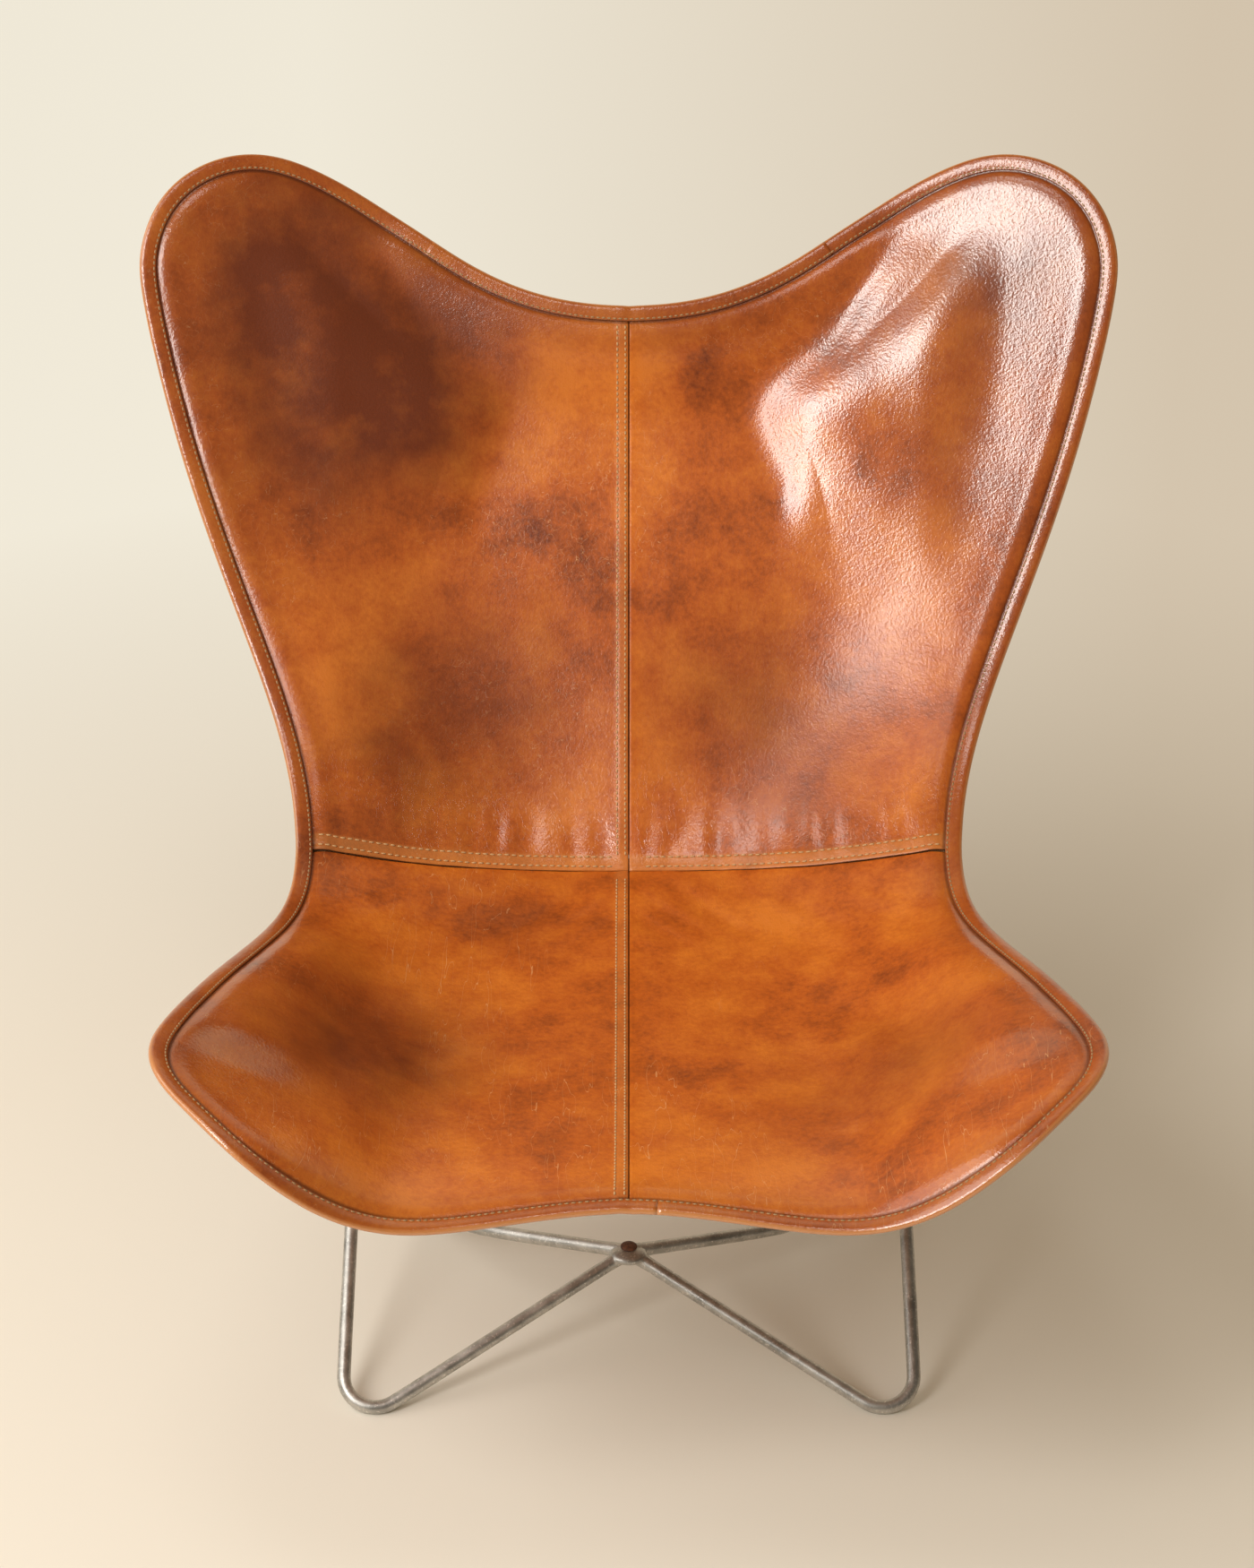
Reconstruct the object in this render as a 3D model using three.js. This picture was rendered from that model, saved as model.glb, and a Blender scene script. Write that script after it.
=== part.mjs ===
// Butterfly sling chair: a bent steel bar frame that carries a four-panel leather sling.
// Millimetres, +Z up, the sitter faces -Y. The left half is worked out and the right half mirrors it.
import * as THREE from "three";

// Steel bar and its bends
const BAR_DIAMETER = 12;
const BAR_SIDES = 10;
const FOOT_BEND_RADIUS = 28;
const LEG_BEND_RADIUS = 160;
const CROSS_BEND_RADIUS = 120;
const FOOT_WEAR_DEPTH = 0.8;

// Welded hubs on the centre plane
const LOWER_HUB_RADIUS = 14;
const LOWER_HUB_HEIGHT = 15;
const UPPER_HUB_RADIUS = 19;
const HUB_SIDES = 20;
const LOWER_HUB_Y = -189;
const LOWER_HUB_Z = 78;
const UPPER_HUB_Y = 96;
const UPPER_HUB_Z = 112;
const LOWER_HUB_FOOT = 0.8;
const LOWER_HUB_CROWN = 0.7;
const WELD_GAP = 0.3;
const DRUM_GAP = 1.3;

// Feet and bends of the bars, left side given by its distance from the centre plane
const FRONT_FOOT_X = 249;
const FRONT_FOOT_Y = -334;
const EAR_BEND_X = 246;
const EAR_BEND_Y = 92;
const EAR_BEND_Z = 268;
const BACK_FOOT_X = 325;
const BACK_FOOT_Y = 125;
const CROSS_BEND_X = 150;
const CROSS_BEND_Y = -112;
const CROSS_BEND_Z = 46;
const HORN_BEND_X = 276;
const HORN_BEND_Y = -10;
const HORN_BEND_Z = 332;
const HORN_DROP_X = 205;
const HORN_DROP_Y = -270;
const HORN_DROP_Z = 334;
const HORN_DROP_RADIUS = 90;

// Arches at the ends of the four fingers
const EAR_X = 345;
const EAR_Y = 356;
const EAR_Z = 789;
const EAR_RADIUS = 80;
const HORN_X = 302;
const HORN_Y = -400;
const HORN_Z = 401;
const HORN_RADIUS = 52;

// Leather sling
const LEATHER = 3.6;
const EAR_HOLD = 34;
const HORN_HOLD = 22;
const EAR_FADE = 80;
const HORN_FADE = 90;
const DRAPE_REACH = 60;
const DRAPE_SLOPE = 1.5;
const DRAPE_ROOM = 3;
const EDGE_OVERHANG = 32;
const SEAM_GAP = 0.3;
const SEAT_GAP = 0.3;
const TOP_CENTRE_Y = 361;
const TOP_CENTRE_Z = 757;
const TOP_EDGE_PULL = 130;
const TOP_CENTRE_PULL = 150;
const WAIST_CENTRE_Y = 60;
const WAIST_CENTRE_Z = 320;
const WAIST_FLATNESS = 0.45;
const WAIST_TURN_SHARE = 0.35;
const WAIST_DIP_Y = 4;
const WAIST_DIP_Z = 14;
const WAIST_EDGE_X = 299;
const WAIST_EDGE_Y = 10;
const WAIST_EDGE_Z = 376;
const FRONT_CENTRE_Y = -484;
const FRONT_CENTRE_Z = 350;
const FRONT_LOBE_X = 178;
const FRONT_LOBE_Y = -507;
const FRONT_LOBE_Z = 347;
const FRONT_SLOPE_X = 244;
const FRONT_SLOPE_Y = -513;
const FRONT_SLOPE_Z = 371;
const SHOULDER_X = 298;
const SHOULDER_Y = -504;
const SHOULDER_Z = 418;
const FRONT_LEAD = 40;
const EAR_LOBE_SHARE = 0.72;
const HORN_LOBE_SHARE = 0.4;
const BACK_EDGE_PULL = 170;
const SEAT_EDGE_PULL = 110;
const EDGE_HANG = 0.5;
const BACK_EDGE_BULGE = 25;
const SEAT_EDGE_BULGE = 6;
const BACK_SAG = 38;
const BACK_SAG_AT = 0.42;
const SEAT_SAG = 32;
const SEAT_SAG_AT = 0.5;
const EAR_CORNER_SHARE = 0.45;
const HORN_CORNER_SHARE = 0.9;

// Sewn details
const BINDING_WIDTH = 15;
const BINDING_THICKNESS = 1.4;
const BINDING_CLEARANCE = 1.2;
const BINDING_ROLL = 0.6;
const TOP_JOIN_X = 195;
const STRIP_HALF_WIDTH = 14;
const STRIP_THICKNESS = 1.6;
const STRIP_CLEARANCE = 0.9;
const STRIP_END_GAP = 1;
const STRIP_FOLD_LIMIT = 0.8;
const EAR_POCKET_SHARE = 0.9;
const HORN_POCKET_SHARE = 0.9;
const POCKET_LEATHER = 2;
const POCKET_CLEARANCE = 0.3;
const POCKET_MARGIN = 4;
const POCKET_DROP = 2.5;
const POCKET_FOLD = 0.6;

// Facets
const BAR_STEP_DEGREES = 16;
const FOOT_STEP_DEGREES = 6;
const PANEL_ACROSS = 15;
const BACK_ALONG = 13;
const SEAT_ALONG = 14;
const ARCH_STEPS = 14;
const POCKET_FLAT_RINGS = 2;
const POCKET_FOLD_RINGS = 4;
const POCKET_SECTORS = 14;
const EDGE_STEPS = 40;
const LOBE_TURN = 0.01;
const HEADING_STEP = 2;
const GUIDE_SHARE = 0.8;
const STANDING_PASSES = 4;

const barRadius = BAR_DIAMETER / 2;
const rim = BINDING_WIDTH + BINDING_CLEARANCE * 2;
const edgeInset = BINDING_THICKNESS + BINDING_CLEARANCE * 2;
const lift = barRadius + SEAT_GAP + LEATHER / 2;

const vec = (x, y, z) => new THREE.Vector3(x, y, z);
const along = (a, b, t) => a.clone().lerp(b, t);
const step = (a, b) => b.clone().sub(a).normalize();
const mirrored = (p) => vec(-p.x, p.y, p.z);
const smooth = (t) => THREE.MathUtils.smoothstep(t, 0, 1);

// The part of a vector that is square to a unit axis, at unit length.
function squareTo(v, axis) {
  return v.clone().addScaledVector(axis, -v.dot(axis)).normalize();
}

// A closed mesh body from vertices and triangles, turned so that its faces point outwards.
function body(vertices, triangles) {
  let volume = 0;
  for (const [a, b, c] of triangles) {
    volume += vertices[a].dot(vertices[b].clone().cross(vertices[c]));
  }
  const faces = volume < 0 ? triangles.map(([a, b, c]) => [a, c, b]) : triangles;
  const geometry = new THREE.BufferGeometry();
  geometry.setAttribute(
    "position",
    new THREE.Float32BufferAttribute(vertices.flatMap((p) => [p.x, p.y, p.z]), 3),
  );
  geometry.setIndex(faces.flat());
  geometry.computeVertexNormals();
  return geometry;
}

// Joins rings of equal count into a capped sweep. Each ring is a list of points, and turned says
// which quads are split along their other diagonal.
function loft(rings, capTriangles, turned = () => false) {
  const count = rings[0].length;
  const vertices = rings.flat();
  const triangles = [];
  for (let r = 0; r + 1 < rings.length; r++) {
    for (let k = 0; k < count; k++) {
      const a = r * count + k;
      const b = r * count + ((k + 1) % count);
      if (turned(r, k)) triangles.push([a, b, a + count], [b, b + count, a + count]);
      else triangles.push([a, b, b + count], [a, b + count, a + count]);
    }
  }
  const last = (rings.length - 1) * count;
  for (const [a, b, c] of capTriangles) {
    triangles.push([a, c, b], [last + a, last + b, last + c]);
  }
  return body(vertices, triangles);
}

// Cap triangles of a flat outline given as 2-D points.
function capOf(outline) {
  return THREE.ShapeUtils.triangulateShape(outline, []);
}

// Replaces the corner b of a path a, b, c by an arc of the given radius.
function bend(a, b, c, radius, stepDegrees = BAR_STEP_DEGREES) {
  const toA = step(b, a);
  const toC = step(b, c);
  const half = toA.angleTo(toC) / 2;
  const turn = Math.PI - 2 * half;
  const inside = toA.clone().add(toC).normalize();
  const centre = b.clone().addScaledVector(inside, radius / Math.sin(half));
  const start = b.clone().addScaledVector(toA, radius / Math.tan(half));
  const first = start.clone().sub(centre);
  const second = squareTo(toA.clone().negate(), first.clone().normalize()).multiplyScalar(radius);
  const steps = Math.max(2, Math.ceil(THREE.MathUtils.radToDeg(turn) / stepDegrees));
  const points = [];
  for (let k = 0; k <= steps; k++) {
    const angle = (turn * k) / steps;
    points.push(
      centre
        .clone()
        .addScaledVector(first, Math.cos(angle))
        .addScaledVector(second, Math.sin(angle)),
    );
  }
  return points;
}

// The plane of one finger: the bar comes from its bend, goes round the arch and runs on.
function fingerFrame(bendPoint, centre, next, radius, leatherHold, sitterSide) {
  const normal = step(centre, bendPoint).cross(step(centre, next)).normalize();
  if (normal.dot(sitterSide) < 0) normal.negate();
  const tangent = (from, side) => {
    const away = from.clone().sub(centre);
    const distance = away.length();
    const spread = Math.acos(radius / distance) * side;
    return centre
      .clone()
      .add(away.normalize().multiplyScalar(radius).applyAxisAngle(normal, spread));
  };
  const spin = Math.sign(
    step(centre, bendPoint).cross(step(centre, next)).dot(normal),
  );
  const enter = tangent(bendPoint, -spin);
  const leave = tangent(next, spin);
  const first = step(centre, enter);
  const across = normal.clone().cross(first).multiplyScalar(-spin);
  const last = step(centre, leave);
  let sweep = Math.atan2(last.dot(across), last.dot(first));
  if (sweep < 0) sweep += 2 * Math.PI;
  const onArch = (share, size, rise) =>
    centre
      .clone()
      .addScaledVector(first, Math.cos(sweep * share) * size)
      .addScaledVector(across, Math.sin(sweep * share) * size)
      .addScaledVector(normal, rise);
  const runs = [
    [enter, bendPoint],
    [leave, next],
  ];
  return { centre, normal, radius, ...leatherHold, enter, leave, next, runs, onArch };
}

// The chair's left fingers, seen from their bends
const lowerHub = vec(0, LOWER_HUB_Y, LOWER_HUB_Z);
const upperHub = vec(0, UPPER_HUB_Y, UPPER_HUB_Z);
const earBend = vec(-EAR_BEND_X, EAR_BEND_Y, EAR_BEND_Z);
const hornDrop = vec(-HORN_DROP_X, HORN_DROP_Y, HORN_DROP_Z);
const hornBend = vec(-HORN_BEND_X, HORN_BEND_Y, HORN_BEND_Z);
const crossBend = vec(-CROSS_BEND_X, CROSS_BEND_Y, CROSS_BEND_Z);
const ear = fingerFrame(
  earBend,
  vec(-EAR_X, EAR_Y, EAR_Z),
  upperHub,
  EAR_RADIUS,
  { hold: EAR_HOLD, fade: EAR_FADE },
  vec(0, -1, 0),
);
const horn = fingerFrame(
  hornBend,
  vec(-HORN_X, HORN_Y, HORN_Z),
  hornDrop,
  HORN_RADIUS,
  { hold: HORN_HOLD, fade: HORN_FADE },
  vec(0, 0, 1),
);

// The centre line of one bar, from the lower hub over its foot and round its arch to the upper hub.
function barPath(finger, legBend, foot, crossing) {
  const arch = [];
  for (let k = 0; k <= ARCH_STEPS; k++) {
    arch.push(finger.onArch(k / ARCH_STEPS, finger.radius, 0));
  }
  const beforeFoot = crossing ?? lowerHub;
  const hubSide = step(lowerHub, crossing ?? foot);
  const start = lowerHub.clone().addScaledVector(hubSide, LOWER_HUB_RADIUS + DRUM_GAP);
  const lastCorner = finger.next === upperHub ? finger.leave : finger.next;
  const hubEnd = upperHub
    .clone()
    .addScaledVector(step(upperHub, lastCorner), UPPER_HUB_RADIUS + WELD_GAP);
  const path = [start];
  if (crossing) path.push(...bend(start, crossing, foot, CROSS_BEND_RADIUS));
  path.push(...bend(beforeFoot, foot, legBend, FOOT_BEND_RADIUS, FOOT_STEP_DEGREES));
  path.push(...bend(foot, legBend, finger.enter, LEG_BEND_RADIUS));
  path.push(...arch);
  if (lastCorner === finger.next) {
    path.push(...bend(finger.leave, lastCorner, hubEnd, HORN_DROP_RADIUS));
  }
  path.push(hubEnd);
  return path;
}

// Lowers or raises the foot's corner until the bar's lowest line touches the floor.
function standingPath(finger, legBend, footX, footY, crossing) {
  const foot = vec(-footX, footY, 0);
  let path = barPath(finger, legBend, foot, crossing);
  for (let pass = 0; pass < STANDING_PASSES; pass++) {
    foot.z -= Math.min(...path.map((p) => p.z)) - barRadius + FOOT_WEAR_DEPTH;
    path = barPath(finger, legBend, foot, crossing);
  }
  return path;
}

// A round bar along a path, worn flat where it stands on the floor.
function bar(path) {
  const last = path.length - 1;
  const headings = path.map((_, k) => step(path[Math.max(k - 1, 0)], path[Math.min(k + 1, last)]));
  const lowest = path.reduce((low, p, k) => (p.z < path[low].z ? k : low), 0);
  const sides = [];
  sides[lowest] = squareTo(vec(0, 0, 1), headings[lowest]);
  for (let k = lowest + 1; k <= last; k++) sides[k] = squareTo(sides[k - 1], headings[k]);
  for (let k = lowest - 1; k >= 0; k--) sides[k] = squareTo(sides[k + 1], headings[k]);
  const circle = [];
  for (let s = 0; s < BAR_SIDES; s++) {
    const angle = (2 * Math.PI * (s + 1 / 2)) / BAR_SIDES;
    circle.push(new THREE.Vector2(Math.cos(angle), Math.sin(angle)).multiplyScalar(barRadius));
  }
  const rings = path.map((point, k) => {
    const other = headings[k].clone().cross(sides[k]);
    return circle.map((c) => {
      const p = point.clone().addScaledVector(sides[k], c.x).addScaledVector(other, c.y);
      return p.setZ(Math.max(p.z, 0));
    });
  });
  return loft(rings, capOf(circle));
}

// The sling's outline on the left: a free edge, the lobe round the arch, and a free edge to the centre.
function outline(finger, sidePull, bulge, lobeEnd, freeEdge) {
  const lobeRadius = finger.radius + EDGE_OVERHANG;
  const lobe = (share) => finger.onArch(share, lobeRadius, lift);
  const hang = waistEdge.distanceTo(lobe(0)) * EDGE_HANG;
  const entering = step(lobe(LOBE_TURN), lobe(0)).multiplyScalar(hang);
  const points = new THREE.CubicBezierCurve3(
    waistEdge,
    waistEdge.clone().addScaledVector(waistTurn, sidePull),
    lobe(0).add(entering).add(vec(-bulge, 0, 0)),
    lobe(0),
  ).getPoints(EDGE_STEPS);
  for (let k = 1; k <= EDGE_STEPS; k++) points.push(lobe((lobeEnd * k) / EDGE_STEPS));
  const leaving = step(lobe(lobeEnd - LOBE_TURN), lobe(lobeEnd));
  const free = freeEdge(lobe(lobeEnd), leaving).getPoints(EDGE_STEPS);
  points.push(...free.slice(1));
  return points;
}

// A polyline measured by its length, with the point and heading at any distance.
function measured(points) {
  const lengths = [0];
  for (let k = 1; k < points.length; k++) {
    lengths.push(lengths[k - 1] + points[k].distanceTo(points[k - 1]));
  }
  const total = lengths[lengths.length - 1];
  const at = (distance) => {
    const d = THREE.MathUtils.clamp(distance, 0, total);
    let k = 1;
    while (k < points.length - 1 && lengths[k] < d) k++;
    const share = (d - lengths[k - 1]) / (lengths[k] - lengths[k - 1]);
    return along(points[k - 1], points[k], share);
  };
  const heading = (distance) => step(at(distance - HEADING_STEP), at(distance + HEADING_STEP));
  const cornerAt = (share) => lengths[Math.round(EDGE_STEPS * (1 + share))];
  return { total, at, heading, cornerAt };
}

// Free edges and centre lines
const waistEdge = vec(-WAIST_EDGE_X, WAIST_EDGE_Y, WAIST_EDGE_Z);
const waistCentre = vec(0, WAIST_CENTRE_Y, WAIST_CENTRE_Z);
const topCentre = vec(0, TOP_CENTRE_Y, TOP_CENTRE_Z);
const frontCentre = vec(0, FRONT_CENTRE_Y, FRONT_CENTRE_Z);
const backWay = step(waistEdge, ear.enter);
const seatWay = step(waistEdge, horn.enter);
const waistTurn = step(seatWay, backWay);

const topEdge = (from, leaving) =>
  new THREE.CubicBezierCurve3(
    from,
    from.clone().addScaledVector(leaving, TOP_EDGE_PULL),
    vec(-TOP_CENTRE_PULL, TOP_CENTRE_Y, TOP_CENTRE_Z),
    topCentre,
  );
const frontLobe = vec(-FRONT_LOBE_X, FRONT_LOBE_Y, FRONT_LOBE_Z);
const frontEdge = (from, leaving) => {
  const knots = [
    from.clone().addScaledVector(leaving, -FRONT_LEAD),
    from,
    vec(-SHOULDER_X, SHOULDER_Y, SHOULDER_Z),
    vec(-FRONT_SLOPE_X, FRONT_SLOPE_Y, FRONT_SLOPE_Z),
    frontLobe,
    frontCentre,
    mirrored(frontLobe),
  ];
  const curve = new THREE.CatmullRomCurve3(knots);
  const span = 1 / (knots.length - 1);
  const getPoints = (count) => {
    const points = [];
    for (let k = 0; k <= count; k++) {
      points.push(curve.getPoint(span + (1 - 2 * span) * (k / count)));
    }
    return points;
  };
  return { getPoints };
};

const backOutline = measured(
  outline(ear, BACK_EDGE_PULL, BACK_EDGE_BULGE, EAR_LOBE_SHARE, topEdge),
);
const seatOutline = measured(
  outline(horn, -SEAT_EDGE_PULL, SEAT_EDGE_BULGE, HORN_LOBE_SHARE, frontEdge),
);

// The curve from the sling's centre to its edge along the waist seam.
const waistSeam = new THREE.CubicBezierCurve3(
  waistCentre,
  waistCentre.clone().add(vec(-WAIST_EDGE_X * WAIST_FLATNESS, 0, 0)),
  along(waistEdge, waistCentre, WAIST_TURN_SHARE).add(vec(0, WAIST_DIP_Y, -WAIST_DIP_Z)),
  waistEdge,
);

const backCentre = new THREE.QuadraticBezierCurve3(
  waistCentre,
  along(waistCentre, topCentre, BACK_SAG_AT).add(vec(0, BACK_SAG, -BACK_SAG)),
  topCentre,
);
const seatCentre = new THREE.QuadraticBezierCurve3(
  waistCentre,
  along(waistCentre, frontCentre, SEAT_SAG_AT).add(vec(0, 0, -SEAT_SAG)),
  frontCentre,
);

// Lays a point of the leather on its finger: flat on the arch, and above the bars that run from it.
function laidOn(finger, p) {
  const away = p.clone().sub(finger.centre);
  const height = away.dot(finger.normal);
  const reach = away.addScaledVector(finger.normal, -height).length();
  const past = reach - finger.radius - finger.hold;
  const hold = smooth(1 - past / finger.fade);
  let rise = (lift - height) * hold;
  for (const [from, to] of finger.runs) {
    const run = step(from, to);
    const offset = p.clone().sub(from);
    const sideways = offset.clone().addScaledVector(run, -offset.dot(run));
    sideways.addScaledVector(finger.normal, -sideways.dot(finger.normal));
    if (offset.dot(run) < 0) continue;
    const drape = smooth(DRAPE_SLOPE * (1 - sideways.length() / DRAPE_REACH));
    rise = Math.max(rise, (lift + DRAPE_ROOM * (1 - hold) - height) * drape);
  }
  return p.clone().addScaledVector(finger.normal, rise);
}

// A sewn panel as rows of points from the centre seam to the side, from the waist to the free edge.
function panelGrid(finger, edge, cornerShare, centreLine, count) {
  const corner = edge.cornerAt(cornerShare);
  const lobeCentre = finger.centre.clone().addScaledVector(finger.normal, lift);
  const inward = (distance, guide) => {
    const p = edge.at(distance);
    const nearLobe = smooth(
      (finger.radius * 3 - Math.abs(distance - corner)) / (finger.radius * 2),
    );
    return squareTo(along(guide, lobeCentre, nearLobe).sub(p), edge.heading(distance));
  };
  const sideRim = [];
  for (let j = 0; j <= count; j++) {
    const distance = ((corner - rim) * j) / count;
    const guide = centreLine.getPoint((j / count) * GUIDE_SHARE);
    sideRim.push({ p: edge.at(distance), b: inward(distance, guide) });
  }
  const freeRim = [];
  for (let i = 0; i <= PANEL_ACROSS; i++) {
    const distance = edge.total - ((edge.total - corner - rim) * i) / PANEL_ACROSS;
    const guide = waistSeam.getPoint((i / PANEL_ACROSS) * GUIDE_SHARE);
    const b = inward(distance, guide);
    if (i === 0) b.setX(0).normalize();
    freeRim.push({ p: edge.at(distance), b });
  }
  const tip = { p: edge.at(corner), b: inward(corner, lobeCentre) };
  const inner = (r) => r.p.clone().addScaledVector(r.b, rim);
  const tipInner = inner(tip);

  const sideLine = sideRim.map(inner);
  const freeLine = freeRim.map(inner);
  sideLine[count] = tipInner;
  freeLine[PANEL_ACROSS] = tipInner;
  const freeStart = freeLine[0];
  const waistLine = [];
  for (let i = 0; i <= PANEL_ACROSS; i++) {
    const p = waistSeam.getPoint(i / PANEL_ACROSS);
    const shift = sideLine[0].clone().sub(waistEdge).multiplyScalar(i / PANEL_ACROSS);
    waistLine.push(p.add(shift));
  }
  const middle = [];
  for (let j = 0; j <= count; j++) {
    const p = centreLine.getPoint(j / count);
    p.add(freeStart.clone().sub(centreLine.getPoint(1)).multiplyScalar(j / count));
    middle.push(p);
  }

  const grid = [];
  for (let j = 0; j <= count; j++) {
    const w = j / count;
    const row = [];
    for (let i = 0; i <= PANEL_ACROSS; i++) {
      const u = i / PANEL_ACROSS;
      const p = vec(0, 0, 0)
        .addScaledVector(waistLine[i], 1 - w)
        .addScaledVector(freeLine[i], w)
        .addScaledVector(middle[j], 1 - u)
        .addScaledVector(sideLine[j], u)
        .addScaledVector(waistLine[0], -(1 - u) * (1 - w))
        .addScaledVector(waistLine[PANEL_ACROSS], -u * (1 - w))
        .addScaledVector(freeLine[0], -(1 - u) * w)
        .addScaledVector(freeLine[PANEL_ACROSS], -u * w);
      row.push(laidOn(finger, p));
    }
    grid.push(row);
  }
  return { grid, sideRim, freeRim, tip, count };
}

const backLeft = panelGrid(ear, backOutline, EAR_CORNER_SHARE, backCentre, BACK_ALONG);
const seatLeft = panelGrid(horn, seatOutline, HORN_CORNER_SHARE, seatCentre, SEAT_ALONG);

// Normals of a panel's grid, on the sitter's side, with the rim as the last neighbour.
function gridNormals({ grid, sideRim, freeRim, count }) {
  return grid.map((row, j) =>
    row.map((_, i) => {
      const du = step(row[Math.max(i - 1, 0)], i < PANEL_ACROSS ? row[i + 1] : sideRim[j].p);
      const dw = step(grid[Math.max(j - 1, 0)][i], j < count ? grid[j + 1][i] : freeRim[i].p);
      if (i === 0) du.set(-1, 0, 0);
      const n = du.cross(dw).normalize();
      return n.z < 0 ? n.negate() : n;
    }),
  );
}

const backNormals = gridNormals(backLeft);
const seatNormals = gridNormals(seatLeft);
const seamNormals = backNormals[0].map((n, i) => n.clone().add(seatNormals[0][i]).normalize());
backNormals[0] = seamNormals;
seatNormals[0] = seamNormals;

// The rim of a panel: its edge points from the waist to the centre, with the grid points inside.
function rimOf(panel, normals) {
  const { grid, sideRim, freeRim, tip, count } = panel;
  const rimPoints = sideRim.map((r, j) => ({
    ...r,
    inner: grid[j][PANEL_ACROSS],
    n: normals[j][PANEL_ACROSS],
  }));
  rimPoints.push({ ...tip, inner: grid[count][PANEL_ACROSS], n: normals[count][PANEL_ACROSS] });
  for (let i = PANEL_ACROSS; i >= 0; i--) {
    rimPoints.push({ ...freeRim[i], inner: grid[count][i], n: normals[count][i] });
  }
  rimPoints.forEach((r, order) => {
    r.b = step(r.p, r.inner);
    r.n = squareTo(r.n, r.b);
    r.order = order;
  });
  return rimPoints;
}

const backRim = rimOf(backLeft, backNormals);
const seatRim = rimOf(seatLeft, seatNormals);

// A panel as a sheet of leather with its edge tucked into the binding.
function panelBody(panel, normals, rimPoints, side) {
  const { grid, count } = panel;
  const points = [];
  const directions = [];
  const index = (j, i) => j * (PANEL_ACROSS + 1) + i;
  grid.forEach((row, j) =>
    row.forEach((p, i) => {
      points.push(p.clone());
      directions.push(normals[j][i]);
    }),
  );
  const rimStart = points.length;
  for (const r of rimPoints) {
    points.push(r.p.clone().addScaledVector(r.b, edgeInset));
    directions.push(r.n);
  }
  const faces = [];
  const quad = (a, b, c, d) => faces.push([a, b, c], [a, c, d]);
  for (let j = 0; j < count; j++) {
    for (let i = 0; i < PANEL_ACROSS; i++) {
      quad(index(j, i), index(j, i + 1), index(j + 1, i + 1), index(j + 1, i));
    }
    quad(index(j, PANEL_ACROSS), rimStart + j, rimStart + j + 1, index(j + 1, PANEL_ACROSS));
  }
  const tip = rimStart + count + 1;
  quad(index(count, PANEL_ACROSS), tip - 1, tip, tip + 1);
  for (let i = PANEL_ACROSS; i > 0; i--) {
    const k = tip + 1 + PANEL_ACROSS - i;
    quad(index(count, i), k, k + 1, index(count, i - 1));
  }
  const border = [];
  for (let i = 0; i <= PANEL_ACROSS; i++) border.push(index(0, i));
  rimPoints.forEach((_, k) => border.push(rimStart + k));
  for (let j = count; j > 0; j--) border.push(index(j, 0));

  // The sheet keeps half a seam gap from the centre plane and from the waist seam.
  const onCentre = (k) => k < rimStart ? k % (PANEL_ACROSS + 1) === 0 : k === points.length - 1;
  const onWaist = (k) => k <= PANEL_ACROSS || k === rimStart;
  const away = (k) => {
    const column = k === rimStart ? PANEL_ACROSS : k;
    return squareTo(grid[1][column].clone().sub(grid[0][column]), seamNormals[column]);
  };
  const half = (rise) =>
    points.map((p, k) => {
      const q = p.clone().addScaledVector(directions[k], rise);
      if (onWaist(k)) q.addScaledVector(away(k), SEAM_GAP / 2);
      if (onCentre(k)) q.setX(-SEAM_GAP / 2);
      return side > 0 ? mirrored(q) : q;
    });
  const vertices = [...half(LEATHER / 2), ...half(-LEATHER / 2)];
  const below = points.length;
  const triangles = faces.flatMap(([a, b, c]) => [
    [a, b, c],
    [a + below, c + below, b + below],
  ]);
  border.forEach((a, k) => {
    const b = border[(k + 1) % border.length];
    triangles.push([b, a, a + below], [b, a + below, b + below]);
  });
  return body(vertices, triangles);
}

// The whole edge in order: from the front centre round the left side to the top centre.
const leftEdge = [...seatRim].reverse();
leftEdge.pop();
const waistRim = { ...backRim[0], n: seamNormals[PANEL_ACROSS] };
leftEdge.push(waistRim, ...backRim.slice(1));
const mirrorRim = (r) => ({
  p: mirrored(r.p),
  b: mirrored(r.b),
  n: mirrored(r.n),
  order: r.order,
});
const rightEdge = leftEdge.slice(0, -1).reverse().map(mirrorRim);
const wholeEdge = [...leftEdge, ...rightEdge.slice(0, -1)];

// A folded binding along a run of edge points, open towards the leather.
function binding(run) {
  const half = LEATHER / 2 + BINDING_CLEARANCE;
  const outer = half + BINDING_THICKNESS;
  const profile = [
    [BINDING_WIDTH, half],
    [BINDING_WIDTH, outer],
    [BINDING_THICKNESS, outer],
    [0, half * BINDING_ROLL],
    [0, -half * BINDING_ROLL],
    [BINDING_THICKNESS, -outer],
    [BINDING_WIDTH, -outer],
    [BINDING_WIDTH, -half],
    [BINDING_THICKNESS, -half],
    [BINDING_THICKNESS, half],
  ].map(([x, y]) => new THREE.Vector2(x, y));
  const rings = run.map(({ p, b, n }, k) => {
    const heading = step(run[Math.max(k - 1, 0)].p, run[Math.min(k + 1, run.length - 1)].p);
    const end = (k === 0) - (k === run.length - 1);
    const start = p.clone().addScaledVector(heading, (end * SEAM_GAP) / 2);
    const up = squareTo(n, b);
    return profile.map((q) => start.clone().addScaledVector(b, q.x).addScaledVector(up, q.y));
  });
  const turned = (r, k) => {
    const inwards = profile[(k + 1) % profile.length].x > profile[k].x;
    return inwards === run[r].order < run[r + 1].order;
  };
  return loft(rings, capOf(profile), turned);
}

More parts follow.
